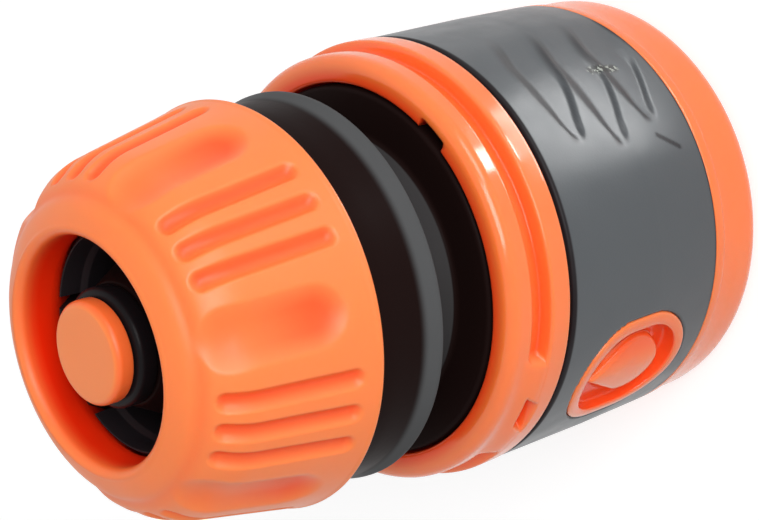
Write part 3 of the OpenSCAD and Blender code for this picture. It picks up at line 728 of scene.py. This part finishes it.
def hose_body(materials):
    """Flange, neck, flared drum, screw boss with its thread, cup and barbed spigot, turned in one."""
    shank_top = BOSS_TOP - 1.1
    pitch = (SPIGOT_TOP - 0.3 - shank_top) / BARBS
    barbs = []
    for i in range(BARBS):
        low, high = shank_top + i * pitch, shank_top + (i + 1) * pitch
        root_r = SPIGOT_RIM_R if i == BARBS - 1 else BARB_ROOT_R
        barbs += [(BARB_R, low, 0.08), (BARB_R, low + 0.3, 0.12), (root_r, high, 0.1)]
    outline = rounded([
        (CHAMBER_R, FLANGE_BOTTOM, 0.1), (FLANGE_R, FLANGE_BOTTOM, 0.4), (FLANGE_R, SLEEVE_LEN, 0.45),
        (NECK_R, SLEEVE_LEN, 0.5), (NECK_R, RIM_Z, 0.6), (RIM_R, RIM_Z, 0.3, 0.3),
        (RIM_R - 0.03, RIM_Z + 0.45, 0.1, 0.2), (DRUM_R + 0.1, RIM_Z + 1.9, 1.6), (DRUM_R, DRUM_TOP, 0.45),
        (BOSS_R, DRUM_TOP, 0.2, 0.16), (BOSS_R, BOSS_TOP, 0.4), (CUP_R, BOSS_TOP, 0.2),
        (CUP_R, CUP_FLOOR, 0.4), (SHANK_R, CUP_FLOOR, 0.4), (SHANK_R, shank_top, 0.05),
        *barbs,
        (SPIGOT_EDGE_R, SPIGOT_TOP, 0.2), (SPIGOT_BORE_R, SPIGOT_TOP, 0.2), (SPIGOT_BORE_R, SPIGOT_SEAT, 0.1),
        (SPRING_BORE_R, SPIGOT_SEAT, 0.1), (SPRING_BORE_R, CHAMBER_TOP, 0.1), (CHAMBER_R, CHAMBER_TOP, 0.1),
    ])

    def shape(angle, r, z):
        """Raises the thread on the boss and paints a lighter grey highlight on the flare and neck."""
        boss = np.abs(r - BOSS_R) < 0.01
        ridge = thread_height(angle, z, DRUM_TOP + 0.2, BOSS_TOP - 0.1)
        flare = (r > DRUM_R) & (z > RIM_Z) & (z < RIM_Z + 3)
        neck = (np.abs(r - NECK_R) < 0.05) & (z > SLEEVE_LEN)
        # Painted highlight: the flare's reflection, fading up the drum, and a fainter one on the neck
        painted_light = np.where(flare, 1 - smooth(z, RIM_Z + 1.3, RIM_Z + 2.1), 0)
        painted_light = np.where(neck, 0.5, painted_light)
        return np.where(boss, r + THREAD_HEIGHT * ridge, r), z, painted_light

    piece = lathe("body_shell", outline, BODY_COLUMNS, shape)
    piece.data.materials.append(materials["black_body"])
    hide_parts("hose_body")
    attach(piece, "body")


# Release sleeve


def around_distance(angle, z, centre, half_sweep, low, high, radius, corner=0.45):
    """Distance, negative inside, to a rounded box wrapped round the axis."""
    across = np.abs(np.radians(turn(angle, centre))) * radius - (math.radians(half_sweep) * radius - corner)
    along = np.abs(z - (low + high) / 2) - ((high - low) / 2 - corner)
    outside = np.hypot(np.clip(across, 0, None), np.clip(along, 0, None))
    return outside + np.minimum(np.maximum(across, along), 0) - corner


def skewed_distance(t, z, corners):
    """Distance, negative inside, to a convex outline of (t, z) corners given anticlockwise."""
    far = np.full(np.broadcast(t, z).shape, -1e9)
    for (t0, z0), (t1, z1) in zip(corners, corners[1:] + corners[:1]):
        length = math.hypot(t1 - t0, z1 - z0)
        far = np.maximum(far, ((t - t0) * (z1 - z0) - (z - z0) * (t1 - t0)) / length)
    return far


def badge_distance(angle, z, radius):
    """Distance, negative inside, to the nearest badge's outer edge on a cylinder of that radius."""
    nearest = FAR
    for centre in BADGES:
        off = turn(angle, centre)
        t = np.where(np.abs(off) < 80, radius * np.sin(np.radians(off)), FAR)
        along = np.clip(np.abs(z - BADGE_Z) - BADGE_HALF, 0, None)
        nearest = np.minimum(nearest, np.hypot(t, along) - BADGE_R)
    return nearest


def notched(outline, part):
    """The outline with one part of it drawn back along the walls of a key notch."""
    path = np.array([
        (NOTCH_R - 0.2, SLEEVE_LEN), (NOTCH_R, SLEEVE_LEN - 0.15), (NOTCH_R, NOTCH_FLOOR + 0.05),
        (NOTCH_R - 0.05, NOTCH_FLOOR), (SLEEVE_BORE + 0.05, NOTCH_FLOOR), (SLEEVE_BORE, NOTCH_FLOOR - 0.05),
        (SLEEVE_BORE, NOTCH_END),
    ])
    travelled = np.concatenate([[0], np.cumsum(np.hypot(*np.diff(path, axis=0).T))])
    share = np.linspace(0, travelled[-1], part.sum())
    moved = outline.copy()
    for axis in (0, 1):
        moved[part, axis] = np.interp(share, travelled, path[:, axis])
    return moved


def release_sleeve(materials):
    """Sleeve with collar, band recess, raised ring, grooved lip, skewed slots, key notches and badges."""
    outline = rounded([
        (COUNTERBORE_R, 0.0, 0.25), (COLLAR_R, 0.0, 2.0), (COLLAR_R + 0.05, COLLAR_TOP, 0.3),
        (BEAD_R, BEAD_BOTTOM, 0.2), (BEAD_R + 0.02, BEAD_TOP, 0.15), (RECESS_R, BEAD_TOP, 0.05, 0.6),
        (RECESS_R, RING_BOTTOM, 0.1), (RING_R - 0.02, RING_BOTTOM, 0.2, 0.2),
        (RING_R, RING_TOP - 0.04, 0.8, 0.12), (LIP_R, RING_TOP + 0.02, 0.15, 0.12),
        (LIP_R, SLEEVE_LEN, 1.5, 0.2), (SLEEVE_BORE, SLEEVE_LEN, 0.35, 0.2), (SLEEVE_BORE, NOTCH_END, 0.0),
        (SLEEVE_BORE, CAM_TOP, 0.15), (CAM_TOP_R, CAM_TOP, 0.1), (CAM_LOW_R, CAM_LOW, 0.1),
        (END_HOLE_R, CAM_LOW, 0.2), (END_HOLE_R, COUNTERBORE_LEN, 0.2),
        (COUNTERBORE_R, COUNTERBORE_LEN, 0.15),
    ])
    lip_inner = (outline[:, 0] < 17.1) & (outline[:, 1] > 28.0)
    notch = notched(outline, lip_inner)

    def shape(angle, r, z):
        """Adds bridges, long grooves, slots, notches and beds for the badges, with the painted shade of each.
        """
        outer = (r > WALL_MIDDLE_R) & (z > 0.5)
        # Painted shade: deep red-orange inside the bore and on the lip's inner edge
        painted_light = np.where((r < WALL_MIDDLE_R) & (z < 31) & (z > 3), 0.9, 0)
        painted_light = np.maximum(painted_light, 0.7 * smooth(-r, -17.6, -16.4) * (z > 30.5))
        flush = FLUSH_R - (FLUSH_R - LIP_R) * smooth(z, 27.3, 29.8)
        window_floor = 17.0 + 1.0 * smooth(-z, -28.0, -26.9)
        for centre in BADGES:
            bridge = 1 - smooth(np.abs(turn(angle, centre + BRIDGE_TURN)), *BRIDGE_HALF)
            r = r + np.maximum(flush - r, 0) * bridge * outer * (z > 27) * (z < 29.8)
            groove_at = centre + GROOVE_TURN
            groove = around_distance(angle, z, groove_at, GROOVE_HALF, GROOVE_BOTTOM, GROOVE_TOP, GROOVE_R)
            depth = smooth(-groove, -0.10, 0.16) * outer * (z > 26)
            r = r + (np.minimum(r, GROOVE_FLOOR) - r) * depth
            # Painted shade in the long groove, deeper towards its low edge
            painted_light = np.maximum(painted_light, depth * (0.22 + 0.28 * smooth(-z, -28.3, -27.5)))
            off = turn(angle, centre)
            t = np.where(np.abs(off) < 60, WINDOW_R * np.sin(np.radians(off)), FAR)
            depth = smooth(-skewed_distance(t, z, WINDOW), -0.08, 0.12) * outer * (z > 25.4)
            r = r + (np.minimum(r, window_floor) - r) * depth
            # Painted shade in the slot, deepest at its top
            painted_light = np.maximum(painted_light, depth * (1 - 0.25 * smooth(-z, -28.0, -27.0)))
            cut = (1 - smooth(np.abs(turn(angle, centre + NOTCH_TURN)), *NOTCH_HALF)) * lip_inner
            r = r + (notch[:, 0] - r) * cut
            z = z + (notch[:, 1] - z) * cut
            # Painted shade on the key notch
            painted_light = np.maximum(painted_light, cut)
        under_badge = smooth(-badge_distance(angle, z, RECESS_R), 0.2, 0.6)
        r = r - BADGE_SINK * under_badge * (np.abs(r - RECESS_R) < 0.2) * (z < 25)
        # Painted shade in the gap between the band and the raised ring
        gap = smooth(-r, -18.9, -18.7) * (z > 24) * (z < 25.6) * (r > 17)
        return r, z, np.maximum(painted_light, gap)

    shell = lathe("sleeve_shell", outline, SLEEVE_COLUMNS, shape)
    shell.data.materials.append(materials["orange_sleeve"])
    pieces = [shell]
    for centre in BADGES:
        badge = badge_piece(centre)
        badge.data.materials.append(materials["orange_sleeve"])
        pieces.append(badge)
    piece = joined("sleeve_shell", pieces)
    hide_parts("release_sleeve")
    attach(piece, "sleeve")


def stadium(phi, inset):
    """Distance from the badge's middle to its edge, moved in by inset."""
    radius = BADGE_R - inset
    c, s = np.cos(phi), np.abs(np.sin(phi))
    flat = radius / np.maximum(np.abs(c), 1e-9)
    cap = BADGE_HALF * s + np.sqrt(np.clip(radius ** 2 - (BADGE_HALF * c) ** 2, 0, None))
    return np.where(flat * s <= BADGE_HALF, flat, cap)


def drop(phi, inset):
    """Distance from the badge's middle to the edge of the drop, moved in by inset."""
    radius, tip = DROP_R - inset, DROP_TIP - inset * 1.9
    lean = math.asin(radius / tip)
    c, s = np.cos(phi), np.sin(phi)
    circle = DROP_LOW * s + np.sqrt(np.clip(radius ** 2 - (DROP_LOW * c) ** 2, 0, None))
    sine, cosine = math.sin(lean), math.cos(lean)
    line = (DROP_LOW + tip) * sine / np.maximum(np.abs(c) * cosine + s * sine, 1e-9)
    touch = DROP_LOW + radius * sine
    return np.where((line > 0) & (line * s > touch), line, circle)


def badge_piece(centre):
    """Rim, recess and raised drop, made of rings that follow the two outlines, with painted shade in the
    recess and across the drop.
    """
    steps = BADGE_COLUMNS
    phi = np.arange(steps) * 2 * math.pi / steps
    rim_top = BAND_R + 0.05
    outer_round, inner_round = 0.22, 0.2
    drop_top = BAND_R - 0.25
    drop_side = ((-0.02, 0.85), (0.0, 0.35), (0.08, 0.12), (0.22, 0.02), (0.5, 0), (0.9, -0.03), (1.4, -0.05),
                 (2.0, -0.06))

    def ring(radius, height, flat=False):
        """Points of one ring, on a cylinder of that height or on a flat at that depth."""
        t, along = radius * np.cos(phi), radius * np.sin(phi)
        depth = np.full(steps, height) if flat else np.sqrt(height ** 2 - t ** 2)
        return np.stack([depth, t, along], -1)

    rings = [ring(stadium(phi, 0.5), BADGE_BASE, True), ring(stadium(phi, 0.02), 17.3)]
    # Painted shade per ring: deep under and inside the recess, none on the rim's top
    ring_painted_shade = [1, 1]
    for k in range(5):
        a = math.radians(90 * k / 4)
        edge = stadium(phi, 0.02 + outer_round * (1 - math.cos(a)))
        rings.append(ring(edge, rim_top - outer_round * (1 - math.sin(a))))
        ring_painted_shade.append(0)
    for k in range(1, 5):
        a = math.radians(90 * k / 4)
        edge = stadium(phi, BADGE_RIM - inner_round + inner_round * math.sin(a))
        rings.append(ring(edge, rim_top - inner_round * (1 - math.cos(a))))
        ring_painted_shade.append(0.15 * k)
    low_edge = ring(stadium(phi, BADGE_RIM + 0.1), BADGE_FLOOR, True)
    for share in (0.35, 0.7, 0.92):
        high_edge = ring(stadium(phi, BADGE_RIM + 0.06 * share), rim_top - inner_round)
        rings.append(high_edge + (low_edge - high_edge) * share)
        ring_painted_shade.append(0.6)
    floor_edge, drop_edge = stadium(phi, BADGE_RIM + 0.25), drop(phi, -0.12)
    for share in (0, 0.33, 0.66, 1):
        rings.append(ring(floor_edge + (drop_edge - floor_edge) * share, BADGE_FLOOR, True))
        ring_painted_shade.append(0.7)
    painted_light = np.repeat(ring_painted_shade, steps)
    for inset, sink in drop_side:
        radius = drop(phi, inset)
        t, along = radius * np.cos(phi), radius * np.sin(phi)
        gentle = 0.55 * smooth(t, -0.6, 2.9) ** 1.5
        height = np.maximum(drop_top - gentle - sink, BADGE_FLOOR)
        rings.append(np.stack([np.sqrt(height ** 2 - t ** 2), t, along], -1))
        # Painted shade across the drop, deeper towards one side
        painted_light = np.concatenate([painted_light, 0.4 * smooth(t, -0.2, 2.6)])
    middle = len(rings) * steps
    points = np.vstack([*rings, [[drop_top, 0, -0.3]], [[BADGE_BASE, 0, 0]]])
    painted_light = np.concatenate([painted_light, [0.1, 1.0]])
    faces = []
    last = middle - steps
    for j in range(steps):
        k = (j + 1) % steps
        faces += [[low + j, low + k, low + steps + k, low + steps + j] for low in range(0, last, steps)]
        faces.append([last + j, last + k, middle])
        faces.append([k, j, middle + 1])
    a = math.radians(centre)
    x, y = points[:, 0].copy(), points[:, 1].copy()
    points[:, 0] = math.cos(a) * x - math.sin(a) * y
    points[:, 1] = math.sin(a) * x + math.cos(a) * y
    points[:, 2] += BADGE_Z
    return mesh_object(f"badge_{centre}", points, faces, painted_light)


# Grip band


def flutes(angle, z, centre):
    """Depth and painted shade of three thumb flutes that run to points at one end and fade at the other."""
    u = turn(angle, centre + 90)
    depth, painted_shade = np.zeros_like(angle), np.zeros_like(angle)
    for tip, top_z in FLUTES:
        share = np.clip((u - tip) / (FLUTE_END - tip), 0, 1)
        # The upper edge lies a little lower at the tip and again at the faded end
        left = top_z - 0.5 * (1 - smooth(share, 0, 0.2)) - 1.6 * smooth(share, 0.55, 1.0)
        width = FLUTE_WIDTH * np.clip(share / 0.55, 0, 1) ** 0.8
        x = left - z
        # The hollow lies between two soft walls that widen along the flute
        soft = 0.3 + 1.3 * smooth(share, 0.38, 0.65)
        lead = 0.7 + 0.9 * smooth(share, 0.05, 0.4)
        inside = smooth(x, -lead, 0.15) * (1 - smooth(x, width + 0.2 - soft, width + 0.2 + soft))
        fade = smooth(share, 0.0, 0.12) * (1 - smooth(share, 0.62, 1.0))
        depth = np.maximum(depth, FLUTE_DEPTH * inside * fade)
        # Each wall gets painted shade, the upper one more
        left_wall = smooth(x, -lead - 0.3, -0.6 * lead) * (1 - smooth(x, -0.3 * lead, 0.1))
        right_wall = smooth(x, width - 0.25, width + 0.05) * (1 - smooth(x, width + 0.15, width + 0.45))
        right_wall = right_wall * (1 - smooth(share, 0.35, 0.5))
        long_fade = smooth(share, 0.0, 0.06) * (1 - smooth(share, 0.7, 1.0))
        painted_shade = np.maximum(painted_shade, np.maximum(left_wall, 0.6 * right_wall) * long_fade)
    return depth, painted_shade


def line_share(angle, z, line, width):
    """1 on a short line between two (angle, z) points on the band, fading to 0 at its width."""
    start, end = line
    t, along = np.radians(turn(angle, start[0])) * BAND_R, z - start[1]
    run = np.array([math.radians(turn(end[0], start[0])) * BAND_R, end[1] - start[1]])
    share = np.clip((t * run[0] + along * run[1]) / (run @ run), 0, 1)
    return 1 - smooth(np.hypot(t - share * run[0], along - share * run[1]), 0.4 * width, width)


def grip_band(materials):
    """Soft band with thumb flutes, cut out round the badges, with a slash and a scuff."""
    lip_r, lip_top = 18.1, BAND_TOP + 0.5
    outline = rounded([
        (BAND_INNER_R, BAND_BOTTOM, 0.02), (18.75, BAND_BOTTOM, 0.1, 0.18), (BAND_R, 14.0, 0.0, 0.18),
        (BAND_R, BAND_TOP, 0.3, 0.2), (lip_r, BAND_TOP, 0.05), (lip_r, lip_top, 0.02),
        (BAND_INNER_R, lip_top, 0.02, 0.4),
    ], 3.0)

    def shape(angle, r, z):
        """Sinks the flutes, cuts the band out round the badges and sets the painted shade, with the slash as
        a short darker line.
        """
        outer = (r > 18.5) & (z > BAND_BOTTOM + 0.1) & (z < BAND_TOP - 0.1)
        depth, painted_shade = np.zeros_like(r), np.zeros_like(r)
        for centre in BADGES:
            one_depth, one_painted_shade = flutes(angle, z, centre)
            depth, painted_shade = np.maximum(depth, one_depth), np.maximum(painted_shade, one_painted_shade)
        r = r - depth * outer
        from_badge = badge_distance(angle, z, BAND_R)
        sunk = smooth(-from_badge, -0.12, 0.14)
        r = np.where(outer, r + (BAND_CUT_R - r) * sunk, r)
        r = r - 0.65 * smooth(-from_badge, 0.45, 0.8) * (r < 18)
        # Painted shade along the band's top and bottom edges, round the badges and on the flute walls
        top_edge = smooth(z, BAND_TOP - 0.5, BAND_TOP - 0.3)
        low_edge = smooth(-z, -BAND_BOTTOM - 0.3, -BAND_BOTTOM - 0.1)
        slash = line_share(angle, z, SLASH, 0.32)
        return r, z, np.clip(top_edge + low_edge + 0.8 * sunk + 0.7 * painted_shade * outer + 0.8 * slash, 0, 1)

    piece = lathe("band_skin", outline, BAND_COLUMNS, shape)
    mesh = piece.data
    place = np.zeros(len(mesh.vertices) * 3)
    mesh.vertices.foreach_get("co", place)
    place = place.reshape(-1, 3) / MM
    angle = np.degrees(np.arctan2(place[:, 1], place[:, 0]))
    add_share(mesh, "scuff", line_share(angle, place[:, 2], SCUFF, 0.6))
    mesh.materials.append(materials["grey_grip"])
    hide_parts("grip_band")
    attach(piece, "sleeve")


# Valve


def valve_rib(turned):
    """Flat guide that crosses the stem, turned round the axis by an angle in degrees."""
    corners = [(x, y) for x in (-VALVE_RIB_R, VALVE_RIB_R) for y in (-VALVE_RIB_HALF, VALVE_RIB_HALF)]
    c, s = math.cos(math.radians(turned)), math.sin(math.radians(turned))
    heights = (VALVE_RIB_BOTTOM, VALVE_RIB_TOP)
    vertices = [(c * x - s * y, s * x + c * y, z) for z in heights for x, y in corners]
    faces = [(0, 2, 3, 1), (4, 5, 7, 6), (0, 1, 5, 4), (2, 6, 7, 3), (0, 4, 6, 2), (1, 3, 7, 5)]
    rib = mesh_object(f"rib_{turned}", vertices, faces)
    rib.data.polygons.foreach_set("use_smooth", np.zeros(len(faces), bool))
    return rib


def valve(materials):
    """Plunger with its guides and its head, and the ring that seals under the head."""
    seal_seat_r = STEM_R + 0.6
    outline = rounded([
        (0.0, STEM_BOTTOM, 0.0), (STEM_R, STEM_BOTTOM, 0.15), (STEM_R, VALVE_RIB_TOP, 0.05),
        (seal_seat_r, VALVE_RIB_TOP, 0.1), (seal_seat_r, HEAD_BOTTOM, 0.05), (HEAD_R, HEAD_BOTTOM, 0.2),
        (HEAD_R, NUT_TOP, 0.62), (0.0, NUT_TOP, 0.0),
    ], 1.0, 10)

    def shape(angle, r, z):
        """Paints shade round the side of the head."""
        return r, z, 0.35 * smooth(r, 3.7, 4.1) * (z > HEAD_BOTTOM)

    pieces = [lathe("plunger_turned", outline, PLUNGER_COLUMNS, shape)]
    pieces += [valve_rib(turned) for turned in (0, 90)]
    piece = joined("plunger", pieces)
    piece.data.materials.clear()
    piece.data.materials.append(materials["orange_plunger"])
    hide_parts("valve_plunger")
    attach(piece, "valve")

    seal_in, seal_out, seal_low, seal_high = 2.25, 4.85, 55.85, 57.55
    seal = rounded([
        (seal_in, seal_low, 0.05), (seal_out, seal_low, 0.25), (seal_out, seal_high, 0.5),
        (seal_in, seal_high, 0.05),
    ], 3.0, 10)
    piece = lathe("seal_ring", seal, SMALL_RING_COLUMNS)
    piece.data.materials.append(materials["black_seal"])
    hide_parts("valve_seal")
    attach(piece, "valve")


# Springs


def springs(materials):
    """The sleeve's and the valve's springs, each with a mesh of its own."""
    low, high = CAM_TOP + SPRING_PLAY, FLANGE_BOTTOM - SPRING_PLAY
    sleeve = coil("sleeve_coil", (BARREL_R + SLEEVE_BORE) / 2, SLEEVE_WIRE, low, high, SLEEVE_TURNS)
    low, high = VALVE_FOOT_TOP + SPRING_PLAY, SPIGOT_SEAT - SPRING_PLAY
    small = coil("valve_coil", VALVE_COIL_R, VALVE_WIRE, low, high, VALVE_TURNS)
    for piece, node, joint, top, keep in (
        (sleeve, "sleeve_spring", "sleeve_slide", FLANGE_BOTTOM, 1 - SLEEVE_TRAVEL / SLEEVE_ROOM),
        (small, "valve_spring", "valve_push", SPIGOT_SEAT, 1 - VALVE_TRAVEL / VALVE_ROOM),
    ):
        piece.data.materials.append(materials["spring_steel"])
        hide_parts(node)
        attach(piece, "body")
        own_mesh(piece)


def carried_over(nodes, materials):
    """Solids of the model that stay as they are get the finish of their slot."""
    finishes = {
        "socket_barrel": "black_body",
        "barrel_o_ring": "black_seal",
        "retaining_ring": "spring_steel",
        "valve_foot": "black_body",
    }
    finishes.update({f"claw_{i}": "black_collet" for i in range(1, 5)})
    for node, finish in finishes.items():
        nodes[node].data.materials.clear()
        nodes[node].data.materials.append(materials[finish])


# Stage


def shown_to_eye(nodes, links):
    """1 for rays from the camera and for reflections and refractions of it."""
    path = nodes.new("ShaderNodeLightPath")
    first = nodes.new("ShaderNodeMath")
    first.operation = "MAXIMUM"
    second = nodes.new("ShaderNodeMath")
    second.operation = "MAXIMUM"
    links.new(path.outputs["Is Camera Ray"], first.inputs[0])
    links.new(path.outputs["Is Glossy Ray"], first.inputs[1])
    links.new(first.outputs[0], second.inputs[0])
    links.new(path.outputs["Is Transmission Ray"], second.inputs[1])
    return second.outputs[0]


def rectangular_lamp(name, size, power):
    """A rectangular lamp, with its two sides in metres."""
    lamp = bpy.data.lights.new(name, "AREA")
    lamp.shape = "RECTANGLE"
    lamp.size, lamp.size_y = size
    lamp.energy = power
    piece = bpy.data.objects.new(name, lamp)
    bpy.context.scene.collection.objects.link(piece)
    return piece


def area_light(name, direction, distance, size, power):
    """Lamp that faces the part's middle; distance and size are in metres."""
    piece = rectangular_lamp(name, size, power)
    away = Vector(direction).normalized()
    piece.location = Vector((0, 0, LIT_HEIGHT * MM)) + away * distance
    piece.rotation_euler = away.to_track_quat("Z", "Y").to_euler()


def sheen_light(name, place, angle, size, power):
    """Low window that only glossy surfaces show; it lies on the floor and faces up."""
    piece = rectangular_lamp(name, (size[0] * MM, size[1] * MM), power)
    piece.location = Vector(place) * MM
    piece.rotation_euler = (math.pi, 0, math.radians(angle))
    piece.visible_camera = False
    piece.visible_diffuse = False


def from_camera(right, up, back):
    """A direction given along the camera's own axes."""
    return right * Vector(CAMERA_RIGHT) + up * Vector(CAMERA_UP) + back * Vector(CAMERA_BACK)


def make_floor():
    """Pale floor that looks white to the camera and keeps the part's shadow."""
    half = FLOOR_HALF / MM
    corners = [(-half, -half, 0), (half, -half, 0), (half, half, 0), (-half, half, 0)]
    floor = mesh_object("floor", corners, [(0, 1, 2, 3)])
    made, nodes, links, shader = new_material("floor_white")
    shader.inputs["Base Color"].default_value = (FLOOR_SHADE, FLOOR_SHADE, FLOOR_SHADE, 1)
    shader.inputs["Roughness"].default_value = 0.9
    shader.inputs["Specular IOR Level"].default_value = 0.0
    glow = nodes.new("ShaderNodeEmission")
    glow.inputs["Color"].default_value = (1, 1, 1, 1)
    strength = nodes.new("ShaderNodeMath")
    strength.operation = "MULTIPLY"
    strength.inputs[1].default_value = FLOOR_GLOW
    links.new(shown_to_eye(nodes, links), strength.inputs[0])
    links.new(strength.outputs[0], glow.inputs["Strength"])
    both = nodes.new("ShaderNodeAddShader")
    links.new(shader.outputs[0], both.inputs[0])
    links.new(glow.outputs[0], both.inputs[1])
    links.new(both.outputs[0], nodes["Material Output"].inputs["Surface"])
    floor.data.materials.append(made)


def make_world():
    """Even light on the part, behind a white that only the camera and reflections show."""
    world = bpy.data.worlds.new("studio")
    bpy.context.scene.world = world
    world.use_nodes = True
    nodes, links = world.node_tree.nodes, world.node_tree.links
    ambient = nodes["Background"]
    ambient.inputs["Color"].default_value = (1, 1, 1, 1)
    ambient.inputs["Strength"].default_value = AMBIENT
    white = nodes.new("ShaderNodeBackground")
    white.inputs["Color"].default_value = (1, 1, 1, 1)
    white.inputs["Strength"].default_value = 1.0
    mix = nodes.new("ShaderNodeMixShader")
    links.new(shown_to_eye(nodes, links), mix.inputs[0])
    links.new(ambient.outputs[0], mix.inputs[1])
    links.new(white.outputs[0], mix.inputs[2])
    links.new(mix.outputs[0], nodes["World Output"].inputs["Surface"])


def make_lamps():
    """Key from above in the picture, broad front light, and low windows for the streaks on band and lip."""
    area_light("key", from_camera(0.2, 0.6, 0.78), 0.55, (0.22, 0.22), 0.8)
    area_light("front", from_camera(0.08, 0.1, 1.0), 0.7, (0.35, 0.35), 2.7)
    sheen_light("band_sheen", (24, -26, 0.6), 31, (24, 14), 0.009)
    sheen_light("lip_sheen", (31.5, -38, 0.6), 31, (9, 6), 0.005)


def make_camera():
    """Camera that matches the photograph, which has the part's axis across the picture."""
    lens = bpy.data.cameras.new("camera")
    lens.sensor_width = SENSOR
    lens.lens = LENS
    lens.shift_x = SHIFT_X
    lens.shift_y = SHIFT_Y
    lens.clip_start = 0.01
    camera = bpy.data.objects.new("camera", lens)
    bpy.context.scene.collection.objects.link(camera)
    axes = Matrix((CAMERA_RIGHT, CAMERA_UP, CAMERA_BACK)).transposed()
    camera.matrix_world = Matrix.Translation(Vector(CAMERA_AT) * MM) @ axes.to_4x4()
    bpy.context.scene.camera = camera


def main():
    """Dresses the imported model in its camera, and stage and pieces."""
    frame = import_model()
    make_camera()
    make_floor()
    make_world()
    make_lamps()
    bpy.context.scene.view_settings.view_transform = "Standard"
    materials = make_materials()
    hose_nut(materials)
    gripping_collet(materials)
    hose_body(materials)
    release_sleeve(materials)
    grip_band(materials)
    valve(materials)
    springs(materials)
    carried_over(frame["nodes"], materials)


main()
